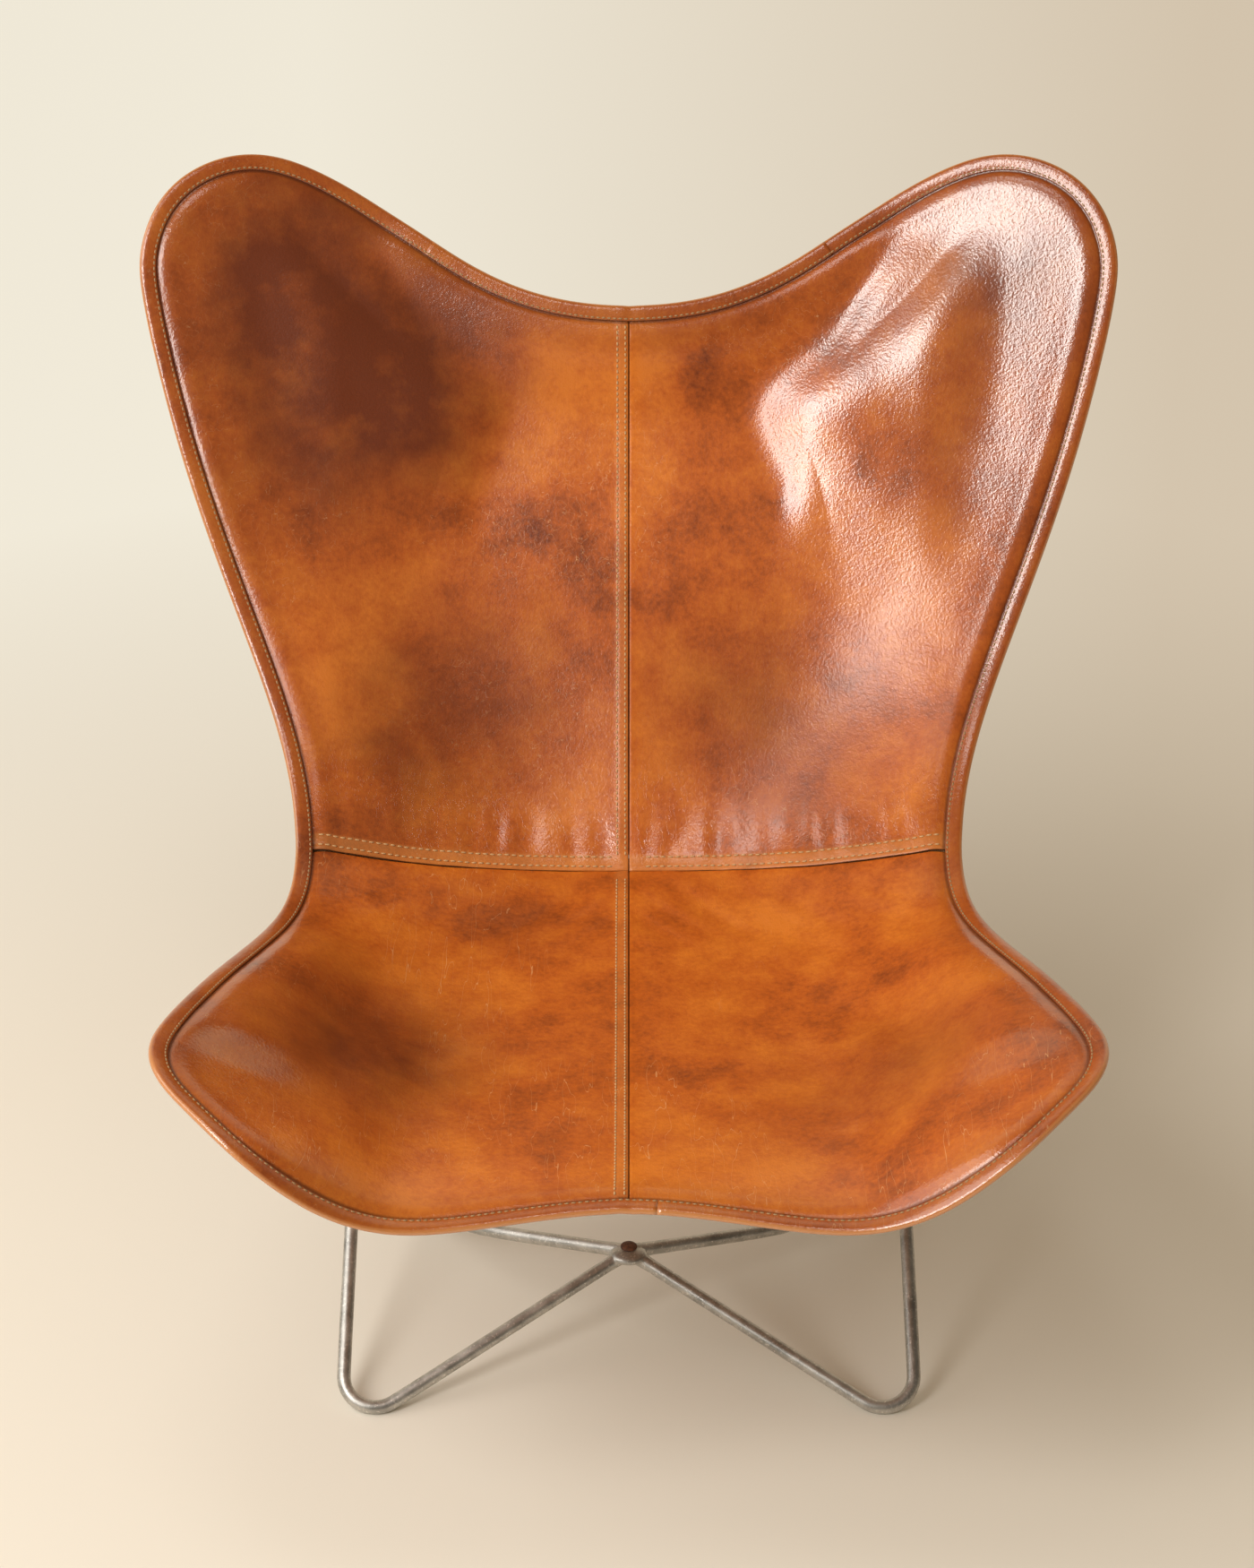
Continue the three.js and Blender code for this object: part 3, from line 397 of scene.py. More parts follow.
class Skin:
    """A leather panel's sitter side as a smooth height over its own plane, with the drape on top of it."""

    def __init__(self, part, side):
        self.part, self.side = part, side
        self.hand = -1 if side == "left" else 1
        points, border = sitter_side(f"{part}_panel_{side}")
        self.origin = points.mean(0)
        self.axes = np.linalg.svd(points - self.origin)[2]
        if self.axes[2] @ np.array(SITTER) < 0:
            self.axes[2] *= -1
        if np.cross(self.axes[0], self.axes[1]) @ self.axes[2] < 0:
            self.axes[1] *= -1
        flat = (points - self.origin) @ self.axes.T
        self.knots = flat[:, :2]
        pull = self._pull(self.knots)
        size = len(flat)
        full = np.zeros((size + 3, size + 3))
        full[:size, :size] = pull + np.eye(size) * SLACK
        full[:size, size:] = np.column_stack([np.ones(size), self.knots])
        full[size:, :size] = full[:size, size:].T
        self.weights = np.linalg.solve(full, np.concatenate([flat[:, 2], np.zeros(3)]))
        self._cut(border)

    def _pull(self, q):
        r2 = ((q[:, None, :] - self.knots[None, :, :]) ** 2).sum(-1)
        return r2 * np.log(r2 + 1e-9) * 1e-4

    def _cut(self, border):
        """Splits the border at its three corners into the waist, the free edge and the centre."""
        ahead = unit(np.roll(border, -1, 0) - border)
        behind = unit(border - np.roll(border, 1, 0))
        turn = (ahead * behind).sum(-1)
        corners = np.sort(np.argsort(turn)[:3])
        side_corner = max(corners, key=lambda k: abs(border[k][0]))
        loop = np.roll(border, -side_corner, 0)
        marks = sorted((corners - side_corner) % len(border))
        if marks[1] > len(border) - marks[2]:
            loop = np.roll(loop[::-1], 1, 0)
            marks = [0, len(border) - marks[2], len(border) - marks[1]]
        waist = loop[: marks[1] + 1][::-1]
        centre = loop[marks[1] : marks[2] + 1]
        edge = np.vstack([loop[marks[2] :], loop[:1]])[::-1]
        self.waist, self.centre, self.edge = (through(self.flat(p), LINE_STEP) for p in (waist, centre, edge))
        softened(self.edge, 30)
        self.outline = np.vstack([self.waist[:-1], self.edge[:-1], self.centre[::-1][:-1]])
        (x, y), (next_x, next_y) = self.outline.T, np.roll(self.outline, -1, 0).T
        if np.sum(x * next_y - y * next_x) < 0:
            self.outline = self.outline[::-1]

    def flat(self, p):
        return ((p - self.origin) @ self.axes.T)[:, :2]

    def base(self, q):
        height = self._pull(q) @ self.weights[:-3] + self.weights[-3] + q @ self.weights[-2:]
        return self.origin + q @ self.axes[:2] + height[:, None] * self.axes[2]

    def facing(self, q):
        """Directions off the plain surface, towards the sitter."""
        du = self.base(q + [1, 0]) - self.base(q - [1, 0])
        dv = self.base(q + [0, 1]) - self.base(q - [0, 1])
        return unit(np.cross(du, dv))

    def inward(self, line):
        """Directions across a line in the panel's plane, towards the panel's middle."""
        ahead = headings(line)
        across = np.column_stack([-ahead[:, 1], ahead[:, 0]])
        return across if np.sum((self.outline.mean(0) - line) * across) >= 0 else -across

    def shape(self, q):
        p = self.base(q)
        return p + self.facing(q) * self.relief(q, p)[:, None]

    @staticmethod
    def off(q, line):
        """Distance from points to a line in the panel's plane."""
        best = np.full(len(q), np.inf)
        for a, b in zip(line[:-1:2], line[2::2]):
            way = b - a
            t = np.clip((q - a) @ way / (way @ way), 0, 1)
            best = np.minimum(best, ((q - a - t[:, None] * way) ** 2).sum(-1))
        return np.sqrt(best)

    def gaps(self, q, p):
        """Distances to the free edge, the waist seam and the centre seam."""
        return self.off(q, self.edge), self.off(q, self.waist), np.abs(p[:, 0])

    def relief(self, q, p, sewn=True):
        """How far the drape stands off the plain surface, with or without what the sewing adds."""
        edge, waist, centre = self.gaps(q, p)
        drape = waves(p, 0.010) * 0.6 + waves(p + 300, 0.028) * 0.3
        if self.part == "back":
            drape += self.wing(p, edge) + self.gathers(p, waist)
        else:
            drape += self.creases(p, waist) + self.lobe(p) + self.crown(p, edge)
        drape *= smooth((edge - 6) / 50)
        room = self.clearance(p) - 1
        out = np.where(drape < 0, drape * smooth(room / 42), drape)
        out += BODY_RISE * smooth((edge - 6) / 22)
        if sewn:
            out += self.sewing(edge, waist, centre)
        return out

    def clearance(self, p):
        """Room between the leather's underside and the bars and pockets."""
        tree = frame_tree(self.side)
        return np.array([tree.find_nearest(Vector(x) * MM)[3] / MM for x in p]) - sizes().leather / MM

    def sewing(self, edge, waist, centre):
        """Rolled seam edges, raised seam bands and the pull of the stitch rows."""
        out = 0.7 * bump(edge - 21, 7) - 0.9 * bump(edge - 12.3, 1.8)
        for gap in (waist, centre):
            out -= ROLL_DEPTH * (1 - np.clip(gap / 2.4, 0, 1)) ** 2
        if self.side == "left":
            out += seam_band(centre, CENTRE_ROWS[1])
        if self.part == "back":
            out += seam_band(waist, WAIST_ROWS[1]) - 0.3 * bump(waist - WAIST_ROWS[0], 1.4)
        return out

    def wing(self, p, edge):
        """The back sags beside the ear, and a curved crease parts the two."""
        x, z = p[:, 0] * self.hand, p[:, 2]
        upper, lower = ((x - px) * nx + (z - pz) * nz for (px, pz), (nx, nz) in WING_RUNS)
        past = -10 * np.logaddexp(-upper / 10, -lower / 10)
        at, slope = np.array(WING_SLOPE).T
        fine = np.linspace(at[0], at[-1], 200)
        rise = np.cumsum(np.interp(fine, at, slope)) * (fine[1] - fine[0])
        turn = np.interp(past, fine, rise) - rise[-1]
        turn *= 1 - smooth((x - 270) / 80)
        return turn * smooth((z - 515) / 170) * smooth((edge - 4) / 110)

    def gloss(self, p, waist):
        """How far the leather is polished, from 0 to 1: on the ears, the horns and above the waist seam."""
        if self.part == "seat":
            return 0.3 + 0.7 * smooth((p[:, 0] * self.hand - 200) / 100)
        ear = smooth((p[:, 2] - 430) / 200) * smooth((p[:, 0] * self.hand - 70) / 120)
        return np.maximum(ear, 0.9 * bump(waist - 30, 28))

    def doubled(self, waist, centre):
        """Where the leather lies double beside a seam, from 0 to 1."""
        over = np.zeros(len(waist))
        if self.part == "back":
            over = smooth((WAIST_ROWS[1] + 3 - waist) / 2.5)
        if self.side == "left":
            over = np.maximum(over, 0.6 * smooth((CENTRE_ROWS[1] + 3 - centre) / 2.5))
        return over

    def patina(self, p):
        """Dark clouds in the hide, from 0 to 1: partly real tone, partly painted shade where the left ear
        faces away from the light.
        """
        spots = BACK_CLOUDS_AND_SHADE if self.part == "back" else SEAT_CLOUDS_AND_SHADE
        high = p[:, 2] if self.part == "back" else p[:, 1]
        clouds = [depth * bump(np.hypot(p[:, 0] - x, high - y), size) for x, y, size, depth in spots]
        return np.clip(np.sum(clouds, axis=0), 0, 1)

    def lobe(self, p):
        """The hollow of the seat beside each horn."""
        x, y = p[:, 0] * self.hand, p[:, 1]
        return -LOBE_DEPTH * bump(np.hypot(x - 190, y + 200), 90)

    def crown(self, p, edge):
        """The leather rolls over the rod towards the upper edge of each horn."""
        x, y = p[:, 0] * self.hand, p[:, 1]
        rolled = CROWN_RISE * smooth((200 - edge) / 140)
        return rolled * smooth((x - 210) / 70) * smooth((y + 345) / 60) * smooth((-20 - y) / 90)

    def gathers(self, p, waist):
        """Fine upright puckers above the waist seam."""
        stretched = p * [5.5, 0, 1.3]
        return GATHER_RISE * waves(stretched, 0.012) * bump(waist - 30, 26)

    def creases(self, p, waist):
        """Slanting creases below the waist seam."""
        x, y = p[:, 0] * self.hand, p[:, 1]
        turned = np.column_stack([(x + y) * 3.4, (x - y) * 0.8, np.zeros(len(p))])
        return CREASE_RISE * waves(turned, 0.011) * bump(waist - 55, 60)


@functools.lru_cache
def skin(part, side):
    return Skin(part, side)


# Materials


class Nodes:
    """A node tree under construction: makes nodes and links them by name."""

    def __init__(self, tree):
        self.tree = tree

    def add(self, kind, inputs=None, **settings):
        node = self.tree.nodes.new(kind)
        for key, value in settings.items():
            setattr(node, key, value)
        for key, value in (inputs or {}).items():
            self.put(node.inputs[key], value)
        return node

    def put(self, socket, value):
        if isinstance(value, bpy.types.NodeSocket):
            self.tree.links.new(value, socket)
        else:
            socket.default_value = value

    def span(self, value, low, high, to_low=0.0, to_high=1.0):
        inputs = {"Value": value, "From Min": low, "From Max": high, "To Min": to_low, "To Max": to_high}
        return self.add("ShaderNodeMapRange", inputs).outputs["Result"]


class Finish(Nodes):
    """A material under construction."""

    def __init__(self, name):
        self.material = bpy.data.materials.new(name)
        self.material.use_nodes = True
        super().__init__(self.material.node_tree)
        self.shader = self.tree.nodes["Principled BSDF"]
        self.place = self.add("ShaderNodeTexCoord").outputs["Object"]

    def set(self, **values):
        for key, value in values.items():
            self.put(self.shader.inputs[key.replace("_", " ")], value)

    def noise(self, scale, detail=4.0, rough=0.55, place=None, distortion=0.0):
        inputs = {"Vector": place or self.place, "Scale": scale, "Detail": detail, "Roughness": rough}
        inputs["Distortion"] = distortion
        return self.add("ShaderNodeTexNoise", inputs).outputs["Fac"]

    def turned(self, rotation, scale):
        inputs = {"Vector": self.place, "Rotation": rotation, "Scale": scale}
        return self.add("ShaderNodeMapping", inputs).outputs["Vector"]

    def math(self, operation, a, b):
        return self.add("ShaderNodeMath", {0: a, 1: b}, operation=operation).outputs["Value"]

    def times(self, a, b):
        return self.math("MULTIPLY", a, b)

    def ramp(self, value, stops):
        node = self.add("ShaderNodeValToRGB", {"Fac": value})
        bar = node.color_ramp.elements
        while len(bar) < len(stops):
            bar.new(0.5)
        for element, (place, colour) in zip(bar, stops):
            element.position = place
            element.color = (*colour, 1)
        return node.outputs["Color"]

    def mixed(self, share, a, b):
        node = self.add("ShaderNodeMix", data_type="RGBA")
        self.put(node.inputs["Factor"], share)
        for socket, value in ((node.inputs[6], a), (node.inputs[7], b)):
            self.put(socket, value if isinstance(value, bpy.types.NodeSocket) else (*value, 1))
        return node.outputs[2]

    def mark(self, name):
        return self.add("ShaderNodeAttribute", attribute_name=name).outputs["Fac"]

    def seen(self):
        """One for what the camera sees, straight or by reflection."""
        rays = self.add("ShaderNodeLightPath").outputs
        seen = self.math("MAXIMUM", rays["Is Camera Ray"], rays["Is Glossy Ray"])
        return self.math("MAXIMUM", seen, rays["Is Transmission Ray"])

    def glow(self, share, colour):
        """Blends the surface into a plain colour."""
        light = self.add("ShaderNodeEmission", {"Color": colour}).outputs["Emission"]
        blend = self.add("ShaderNodeMixShader", {"Fac": share, 1: self.shader.outputs["BSDF"], 2: light})
        self.put(self.tree.nodes["Material Output"].inputs["Surface"], blend.outputs["Shader"])

    def bumped(self, height, strength, distance, normal=None):
        inputs = {"Height": height, "Strength": strength, "Distance": distance}
        if normal:
            inputs["Normal"] = normal
        return self.add("ShaderNodeBump", inputs).outputs["Normal"]


def leather_base(name):
    """Waxed tan leather: clouds, mottling, a fine grain and thin scratches."""
    c = colours()
    f = Finish(name)
    clouds = f.noise(8.5, 3.0, 0.5, distortion=0.25)
    mottle = f.noise(30.0, 5.0, 0.6)
    speckle = f.noise(210.0, 3.0, 0.6)
    tone = f.math("ADD", f.times(clouds, 0.48), f.times(mottle, 0.32))
    tone = f.math("ADD", tone, f.times(speckle, 0.20))
    colour = f.ramp(tone, [(0.31, c.leather_dark), (0.47, c.leather_mid), (0.61, c.leather_light)])
    streak = f.noise(7.0, 2.0, 0.5, place=f.turned((0.2, 0.5, 0.9), (12, 1.0, 12)))
    line = f.times(f.span(streak, 0.496, 0.5), f.span(streak, 0.504, 0.5))
    scratch = f.times(line, f.span(f.noise(5.0, 1.0), 0.46, 0.56))
    colour = f.mixed(f.times(scratch, 0.70), colour, SCRATCHED)
    pores = f.add("ShaderNodeTexVoronoi", {"Vector": f.place, "Scale": 560.0}).outputs["Distance"]
    pebble = f.noise(330.0, 2.0, 0.5)
    f.set(Roughness=f.span(mottle, 0.3, 0.7, 0.42, 0.54), Specular_IOR_Level=0.2)
    f.set(Coat_Weight=0.8, Coat_IOR=2.0, Coat_Roughness=0.2)
    normal = f.bumped(pores, 0.16, 0.0005)
    normal = f.bumped(pebble, 0.30, 0.0008, normal)
    normal = f.bumped(scratch, 0.15, 0.0003, normal)
    return f, colour, normal


@functools.lru_cache
def panel_leather():
    """The sling's leather, burnished towards its bound edge, with fine creases by the waist, and painted
    shade along the binding's inner edge and in the seams' gaps.
    """
    f, colour, normal = leather_base("tan_leather")
    edge, seam, waist, gloss = (f.mark(name) for name in ("edge_gap", "seam_gap", "waist_gap", "gloss"))
    uneven = f.span(f.noise(22.0, 4.0, 0.6), 0.3, 0.7, 0.75, 1.25)
    # Darker clouds: partly real tone, partly painted shade on the left ear
    colour = f.mixed(f.times(f.mark("patina"), uneven), colour, colours().leather_dark)
    colour = f.mixed(f.times(f.mark("doubled"), 0.4), colour, PRESSED)
    burnish = f.span(edge, 46.0, 10.0, 0.0, 0.34)
    # Painted shadow in the groove beside the binding's inner edge, and painted shade in the seams' gaps
    binding_edge_shadow = f.times(f.span(edge, 14.2, 12.4), 0.6)
    seam_gap_shade = f.times(f.span(seam, 0.9, 0.3), 0.85)
    dark = shade(colours().leather_dark, 0.34)
    colour = f.mixed(burnish, colour, colours().leather_dark)
    colour = f.mixed(f.math("MAXIMUM", binding_edge_shadow, seam_gap_shade), colour, dark)
    folds = f.noise(26.0, 3.0, 0.6, place=f.turned((0.0, 0.0, 0.85), (4.5, 0.7, 2.0)))
    ridge = f.math("ABSOLUTE", f.math("SUBTRACT", folds, 0.5), 0.0)
    near = f.times(f.span(waist, 110.0, 30.0), f.span(f.noise(9.0, 1.0), 0.42, 0.6))
    crease = f.times(f.span(ridge, 0.012, 0.0), near)
    normal = f.bumped(crease, 0.35, 0.0010, normal)
    f.set(Base_Color=colour, Normal=normal, Coat_Normal=normal)
    f.set(Coat_Roughness=f.span(gloss, 0.0, 1.0, 0.26, 0.18))
    polish = f.span(gloss, 0.0, 1.0, 0.40, 0.95)
    dulled = f.times(f.span(seam, 3.0, 16.0, 0.25, 1.0), f.span(edge, 12.0, 30.0, 0.5, 1.0))
    f.set(Coat_Weight=f.times(polish, dulled))
    return f.material


@functools.lru_cache
def binding_leather():
    """The folded edge binding: a paler worn rim and painted shade along its inner edge."""
    f, colour, normal = leather_base("edge_leather")
    turn = f.mark("turn")
    colour = f.mixed(0.45, colour, colours().leather_dark)
    colour = f.mixed(f.span(turn, -1.6, -3.4, 0.0, 0.75), colour, RUBBED)
    dark = shade(colours().leather_dark, 0.4)
    # Painted shade where the binding's inner edge meets the panel
    colour = f.mixed(f.span(turn, 9.8, 11.0, 0.0, 0.8), colour, dark)
    f.set(Base_Color=colour, Normal=normal, Coat_Normal=normal)
    return f.material


@functools.lru_cache
def flesh_leather():
    """The raw flesh side: pale, matt and fibrous."""
    c = colours()
    f = Finish("flesh_side")
    fibre = f.noise(260.0, 6.0, 0.7)
    clouds = f.noise(9.0, 4.0, 0.6)
    dark = shade(c.lining, 0.62)
    f.set(Base_Color=f.mixed(f.span(clouds, 0.35, 0.65), dark, c.lining), Roughness=0.85)
    f.set(Normal=f.bumped(fibre, 0.35, 0.0008), Sheen_Weight=0.15)
    return f.material


@functools.lru_cache
def thread_cotton(name, wear):
    """Waxed thread with a twist, darker by its wear."""
    c = colours()
    f = Finish(name)
    twist = f.noise(1500.0, 2.0)
    pale = shade(c.thread, 1 - wear)
    f.set(Base_Color=f.mixed(twist, shade(pale, 0.7), pale), Roughness=0.6)
    f.set(Normal=f.bumped(twist, 0.4, 0.0003))
    return f.material


@functools.lru_cache
def raw_steel():
    """Mottled raw steel with fine specks."""
    c = colours()
    f = Finish("raw_steel")
    cloud = f.noise(46.0, 5.0, 0.65)
    speck = f.noise(420.0, 3.0, 0.6)
    dark = shade(c.steel, 0.55)
    tone = f.mixed(f.span(cloud, 0.36, 0.66), dark, c.steel)
    tone = f.mixed(f.span(speck, 0.56, 0.72), tone, shade(c.steel, 1.35))
    f.set(Base_Color=tone, Metallic=0.85, Roughness=f.span(cloud, 0.3, 0.7, 0.34, 0.50))
    f.set(Normal=f.bumped(speck, 0.18, 0.0003))
    return f.material


@functools.lru_cache
def rusty_steel():
    """Brown rust with darker pits."""
    f = Finish("rusty_steel")
    pits = f.noise(380.0, 4.0, 0.7)
    f.set(Base_Color=f.ramp(pits, [(0.35, RUST_DARK), (0.62, RUST)]), Roughness=0.7)
    f.set(Normal=f.bumped(pits, 0.4, 0.0006))
    return f.material


# Mesh pieces


def meshed(name, bm):
    mesh = bpy.data.meshes.new(name)
    bm.to_mesh(mesh)
    bm.free()
    return mesh


def placed(name, data):
    thing = bpy.data.objects.new(name, data)
    bpy.context.scene.collection.objects.link(thing)
    return thing


def modified(piece, name, kind, **settings):
    modifier = piece.modifiers.new(name, kind)
    for key, value in settings.items():
        setattr(modifier, key, value)


def shown(name, bm, materials, slot, *nodes):
    """Makes a finished piece from a bmesh, on the chair's body."""
    bmesh.ops.recalc_face_normals(bm, faces=bm.faces)
    for face in bm.faces:
        face.smooth = True
    piece = placed(name, meshed(name, bm))
    for material in materials:
        piece.data.materials.append(material)
    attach(piece, BODY)
    if nodes:
        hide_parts(*nodes)
    return piece


def wrapped_grid(columns, rows, place):
    """A grid of quads moved to place(u, v), with u and v from 0 to 1; place also gives the marks to keep."""
    bm = bmesh.new()
    bmesh.ops.create_grid(bm, x_segments=columns, y_segments=rows, size=0.5)
    uv = np.array([v.co[:2] for v in bm.verts]) + 0.5
    points, marks = place(uv[:, 0], uv[:, 1])
    layers = [(bm.verts.layers.float.new(name), values) for name, values in marks.items()]
    for k, vert in enumerate(bm.verts):
        vert.co = points[k] * MM
        for layer, values in layers:
            vert[layer] = values[k]
    return bm


def swept(line, across, up, profile):
    """Sweeps a closed profile of (across, up) points along a line of points and closes the ends."""
    turns = len(profile)
    steps = len(line) - 1

    def place(u, v):
        k = np.rint(u * steps).astype(int)
        s = np.rint(v * turns).astype(int) % turns
        return line[k] + across[k] * profile[s, :1] + up[k] * profile[s, 1:], {"turn": profile[s, 0]}

    bm = wrapped_grid(steps, turns, place)
    bmesh.ops.remove_doubles(bm, verts=bm.verts, dist=1e-7)
    bmesh.ops.holes_fill(bm, edges=[e for e in bm.edges if e.is_boundary], sides=0)
    return bm


def carried_frames(line, start):
    """Headings and a side vector carried along a line without twist, from the index start."""
    heading = headings(line)
    side = np.zeros_like(line)
    side[start] = square_to(np.array([0.0, 0.0, 1.0]), heading[start])
    for k in range(start + 1, len(line)):
        side[k] = square_to(side[k - 1], heading[k])
    for k in range(start - 1, -1, -1):
        side[k] = square_to(side[k + 1], heading[k])
    return heading, side


def panel_mesh(cloth):
    """A leather panel's sitter side: rings of its outline drawn in to its middle."""
    outline = cloth.outline
    middle = outline.mean(0)
    reach = np.linalg.norm(outline - middle, axis=1)
    near, rings = EDGE_RINGS, INNER_RINGS

    def place(u, v):
        k = np.rint(u * len(outline)).astype(int) % len(outline)
        ring = np.rint(v * (len(near) + rings)).astype(int)
        inner = near[-1] + (reach[k] - near[-1]) * (ring - len(near) + 1) / (rings + 1)
        drawn = np.where(ring < len(near), near[np.minimum(ring, len(near) - 1)], inner)
        q = middle + (outline[k] - middle) * (1 - drawn / reach[k])[:, None]
        edge, waist, centre = cloth.gaps(q, cloth.base(q))
        p = cloth.shape(q)
        return p, {
            "edge_gap": edge,
            "waist_gap": waist,
            "seam_gap": np.minimum(waist, centre),
            "patina": cloth.patina(p),
            "gloss": cloth.gloss(p, waist),
            "doubled": cloth.doubled(waist, centre),
        }

    bm = wrapped_grid(len(outline), len(near) + rings, place)
    bmesh.ops.remove_doubles(bm, verts=bm.verts, dist=1e-6)
    return bm


@functools.lru_cache
def edge_frames(side):
    """Points and directions, inward and up, along half of the sling's edge from the front to the top."""
    rows = []
    for part in ("seat", "back"):
        cloth = skin(part, side)
        q, inward = cloth.edge, cloth.inward(cloth.edge)
        p = cloth.shape(q)
        b = unit(cloth.shape(q + inward * 12) - p)
        n = cloth.facing(q + inward * 6)
        rows.append(np.hstack([p, b, n]))
    seat, back = rows
    if seat[0, 1] > seat[-1, 1]:
        seat = seat[::-1]
    if back[0, 2] > back[-1, 2]:
        back = back[::-1]
    both = np.vstack([seat[:-2], (seat[-1:] + back[:1]) / 2, back[2:]])
    p, b, n = (softened(both[:, k : k + 3].copy(), passes) for k, passes in ((0, 2), (3, 6), (6, 6)))
    b = unit(b)
    n = square_to(n, b)
    return p - n * 1.8, b, n  # down to the leather's middle


def binding_runs():
    """Points, inward and upward directions of the three runs of binding, cut where the solids are cut."""
    sides = zip(edge_frames("left"), edge_frames("right"))
    p, b, n = (np.vstack([left, right[::-1][1:]]) for left, right in sides)
    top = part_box("top_binding")[1].x / MM
    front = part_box("right_binding")[0].x / MM
    high = p[:, 2] > TOP_EDGE
    on_top = np.where(high & (np.abs(p[:, 0]) < top))[0]
    first, last = on_top[0], on_top[-1]
    low = np.where(~high & (p[:, 0] < front) & (p[:, 0] > 0) & (np.arange(len(p)) > last))[0]
    cut = low[0]
    order = np.arange(len(p))
    runs = {
        "left_binding": np.concatenate([order[cut:-1], order[: first + 1]]),
        "top_binding": order[first - 2 : last + 3],
        "right_binding": order[last : cut + 1],
    }
    return {node: (p[run], b[run], n[run]) for node, run in runs.items()}


def binding_profile(grow):
    """The folded binding's section, across the edge and up from the leather's middle, in millimetres."""
    wide, thick = sizes().binding_width / MM / 15, sizes().binding_leather / MM
    inside = sizes().leather / MM / 2 + 0.15
    high = inside + thick + grow
    upper = [(x * wide, y * high) for x, y in BINDING_SECTION]
    lower = [(x, -y) for x, y in reversed(upper)]
    hollow = [(4.0, -inside), (-1.6, -inside), (-2.3, 0), (-1.6, inside), (4.0, inside)]
    return np.array([*upper, ((-3.8 - grow) * wide, 0), *lower, *((x * wide, y) for x, y in hollow)])


def stitch_row(name, points, ahead, up, pitch, thread):
    """A row of thread stitches laid along points."""
    far = lengths_of(points)
    count = int(far[-1] / pitch)
    at = (np.arange(count) + 0.5) * far[-1] / count

    def blend(rows):
        return np.stack([np.interp(at, far, rows[:, k]) for k in range(3)], axis=1)

    spots, ways, ups = blend(points), unit(blend(ahead)), unit(blend(up))
    thick = sizes().thread
    one = bmesh.new()
    size = Matrix.Diagonal((pitch * MM * 0.40, thick * 0.62, thick * 0.5, 1))
    bmesh.ops.create_uvsphere(one, u_segments=6, v_segments=4, radius=1, matrix=size)
    stitch = meshed("stitch", one)
    bm = bmesh.new()
    for spot, way, high in zip(spots, ways, square_to(ups, ways)):
        turn = Matrix(np.column_stack([way, np.cross(high, way), high]).tolist()).to_4x4()
        place = Matrix.Translation(spot * MM) @ turn
        stitch.transform(place)
        bm.from_mesh(stitch)
        stitch.transform(place.inverted())
    bpy.data.meshes.remove(stitch)
    shown(name, bm, [thread], "edging")


class ChairPart:
    """What every operator of the chair shares."""

    bl_options = {"REGISTER", "UNDO"}


class CHAIR_OT_rods(ChairPart, bpy.types.Operator):
    """Sweep the four bent steel rods along the frame's centre lines"""

    bl_idname = "chair.rods"
    bl_label = "Bend the Rods"

    def execute(self, context):
        turn = np.linspace(0, 2 * np.pi, ROD_SIDES, endpoint=False)
        circle = np.column_stack([np.cos(turn), np.sin(turn)]) * sizes().rod / MM / 2
        for part, side in CORNERS:
            node = f"{part}_bar_{side}"
            line = through(rod_line(node), ROD_STEP)
            heading, up = carried_frames(line, int(np.argmin(line[:, 2])))
            bm = swept(line, up, np.cross(heading, up), circle)
            for vert in bm.verts:
                vert.co.z = max(vert.co.z, 0)
            shown(f"{part}_rod_{side}", bm, [raw_steel()], "steel", node)
        return {"FINISHED"}


class CHAIR_OT_hubs(ChairPart, bpy.types.Operator):
    """Weld the crossings where the rods meet"""

    bl_idname = "chair.hubs"
    bl_label = "Weld the Crossings"

    def execute(self, context):
        rods = [rod_line(f"{part}_bar_{side}") for part, side in CORNERS]
        self.weld("lower_hub", rods)
        self.weld("upper_hub", [line[::-1] for line in rods])
        self.plug()
        return {"FINISHED"}

    @staticmethod
    def weld(node, lines):
        """The welded crossing where these rods start."""
        low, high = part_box(node)
        middle = middle_of(node)
        core = min(high - low) * 0.42
        bm = bmesh.new()
        bmesh.ops.create_icosphere(bm, subdivisions=3, radius=core, matrix=Matrix.Translation(middle))
        if node == "lower_hub":
            web = Matrix.Translation(middle + WEB_PLACE) @ Matrix.Diagonal((*WEB_SIZE, 1))
            bmesh.ops.create_icosphere(bm, subdivisions=3, radius=1, matrix=web)
        for line in lines:
            way = Vector(line[1] - line[0]).normalized()
            along = way.to_track_quat("Z", "Y").to_matrix().to_4x4()
            bmesh.ops.create_cone(
                bm,
                cap_ends=True,
                segments=24,
                radius1=sizes().rod * 0.60,
                radius2=sizes().rod * 0.49,
                depth=WELD_REACH,
                matrix=Matrix.Translation(middle + way * WELD_REACH / 2) @ along,
            )
        weld = shown(node.replace("hub", "weld"), bm, [raw_steel()], "steel", node)
        modified(weld, "fuse", "REMESH", mode="VOXEL", voxel_size=WELD_VOXEL, use_smooth_shade=True)
        modified(weld, "fillet", "SMOOTH", factor=0.5, iterations=10)

    @staticmethod
    def plug():
        """The rusty plug on top of the lower crossing."""
        top = middle_of("lower_hub") + Vector((0, 0, sizes().rod * 0.50))
        bm = bmesh.new()
        shape = Matrix.Translation(top) @ Matrix.Diagonal((*PLUG_SIZE, 1))
        bmesh.ops.create_uvsphere(bm, u_segments=32, v_segments=16, radius=1, matrix=shape)
        shown("crossing_plug", bm, [rusty_steel()], "steel")


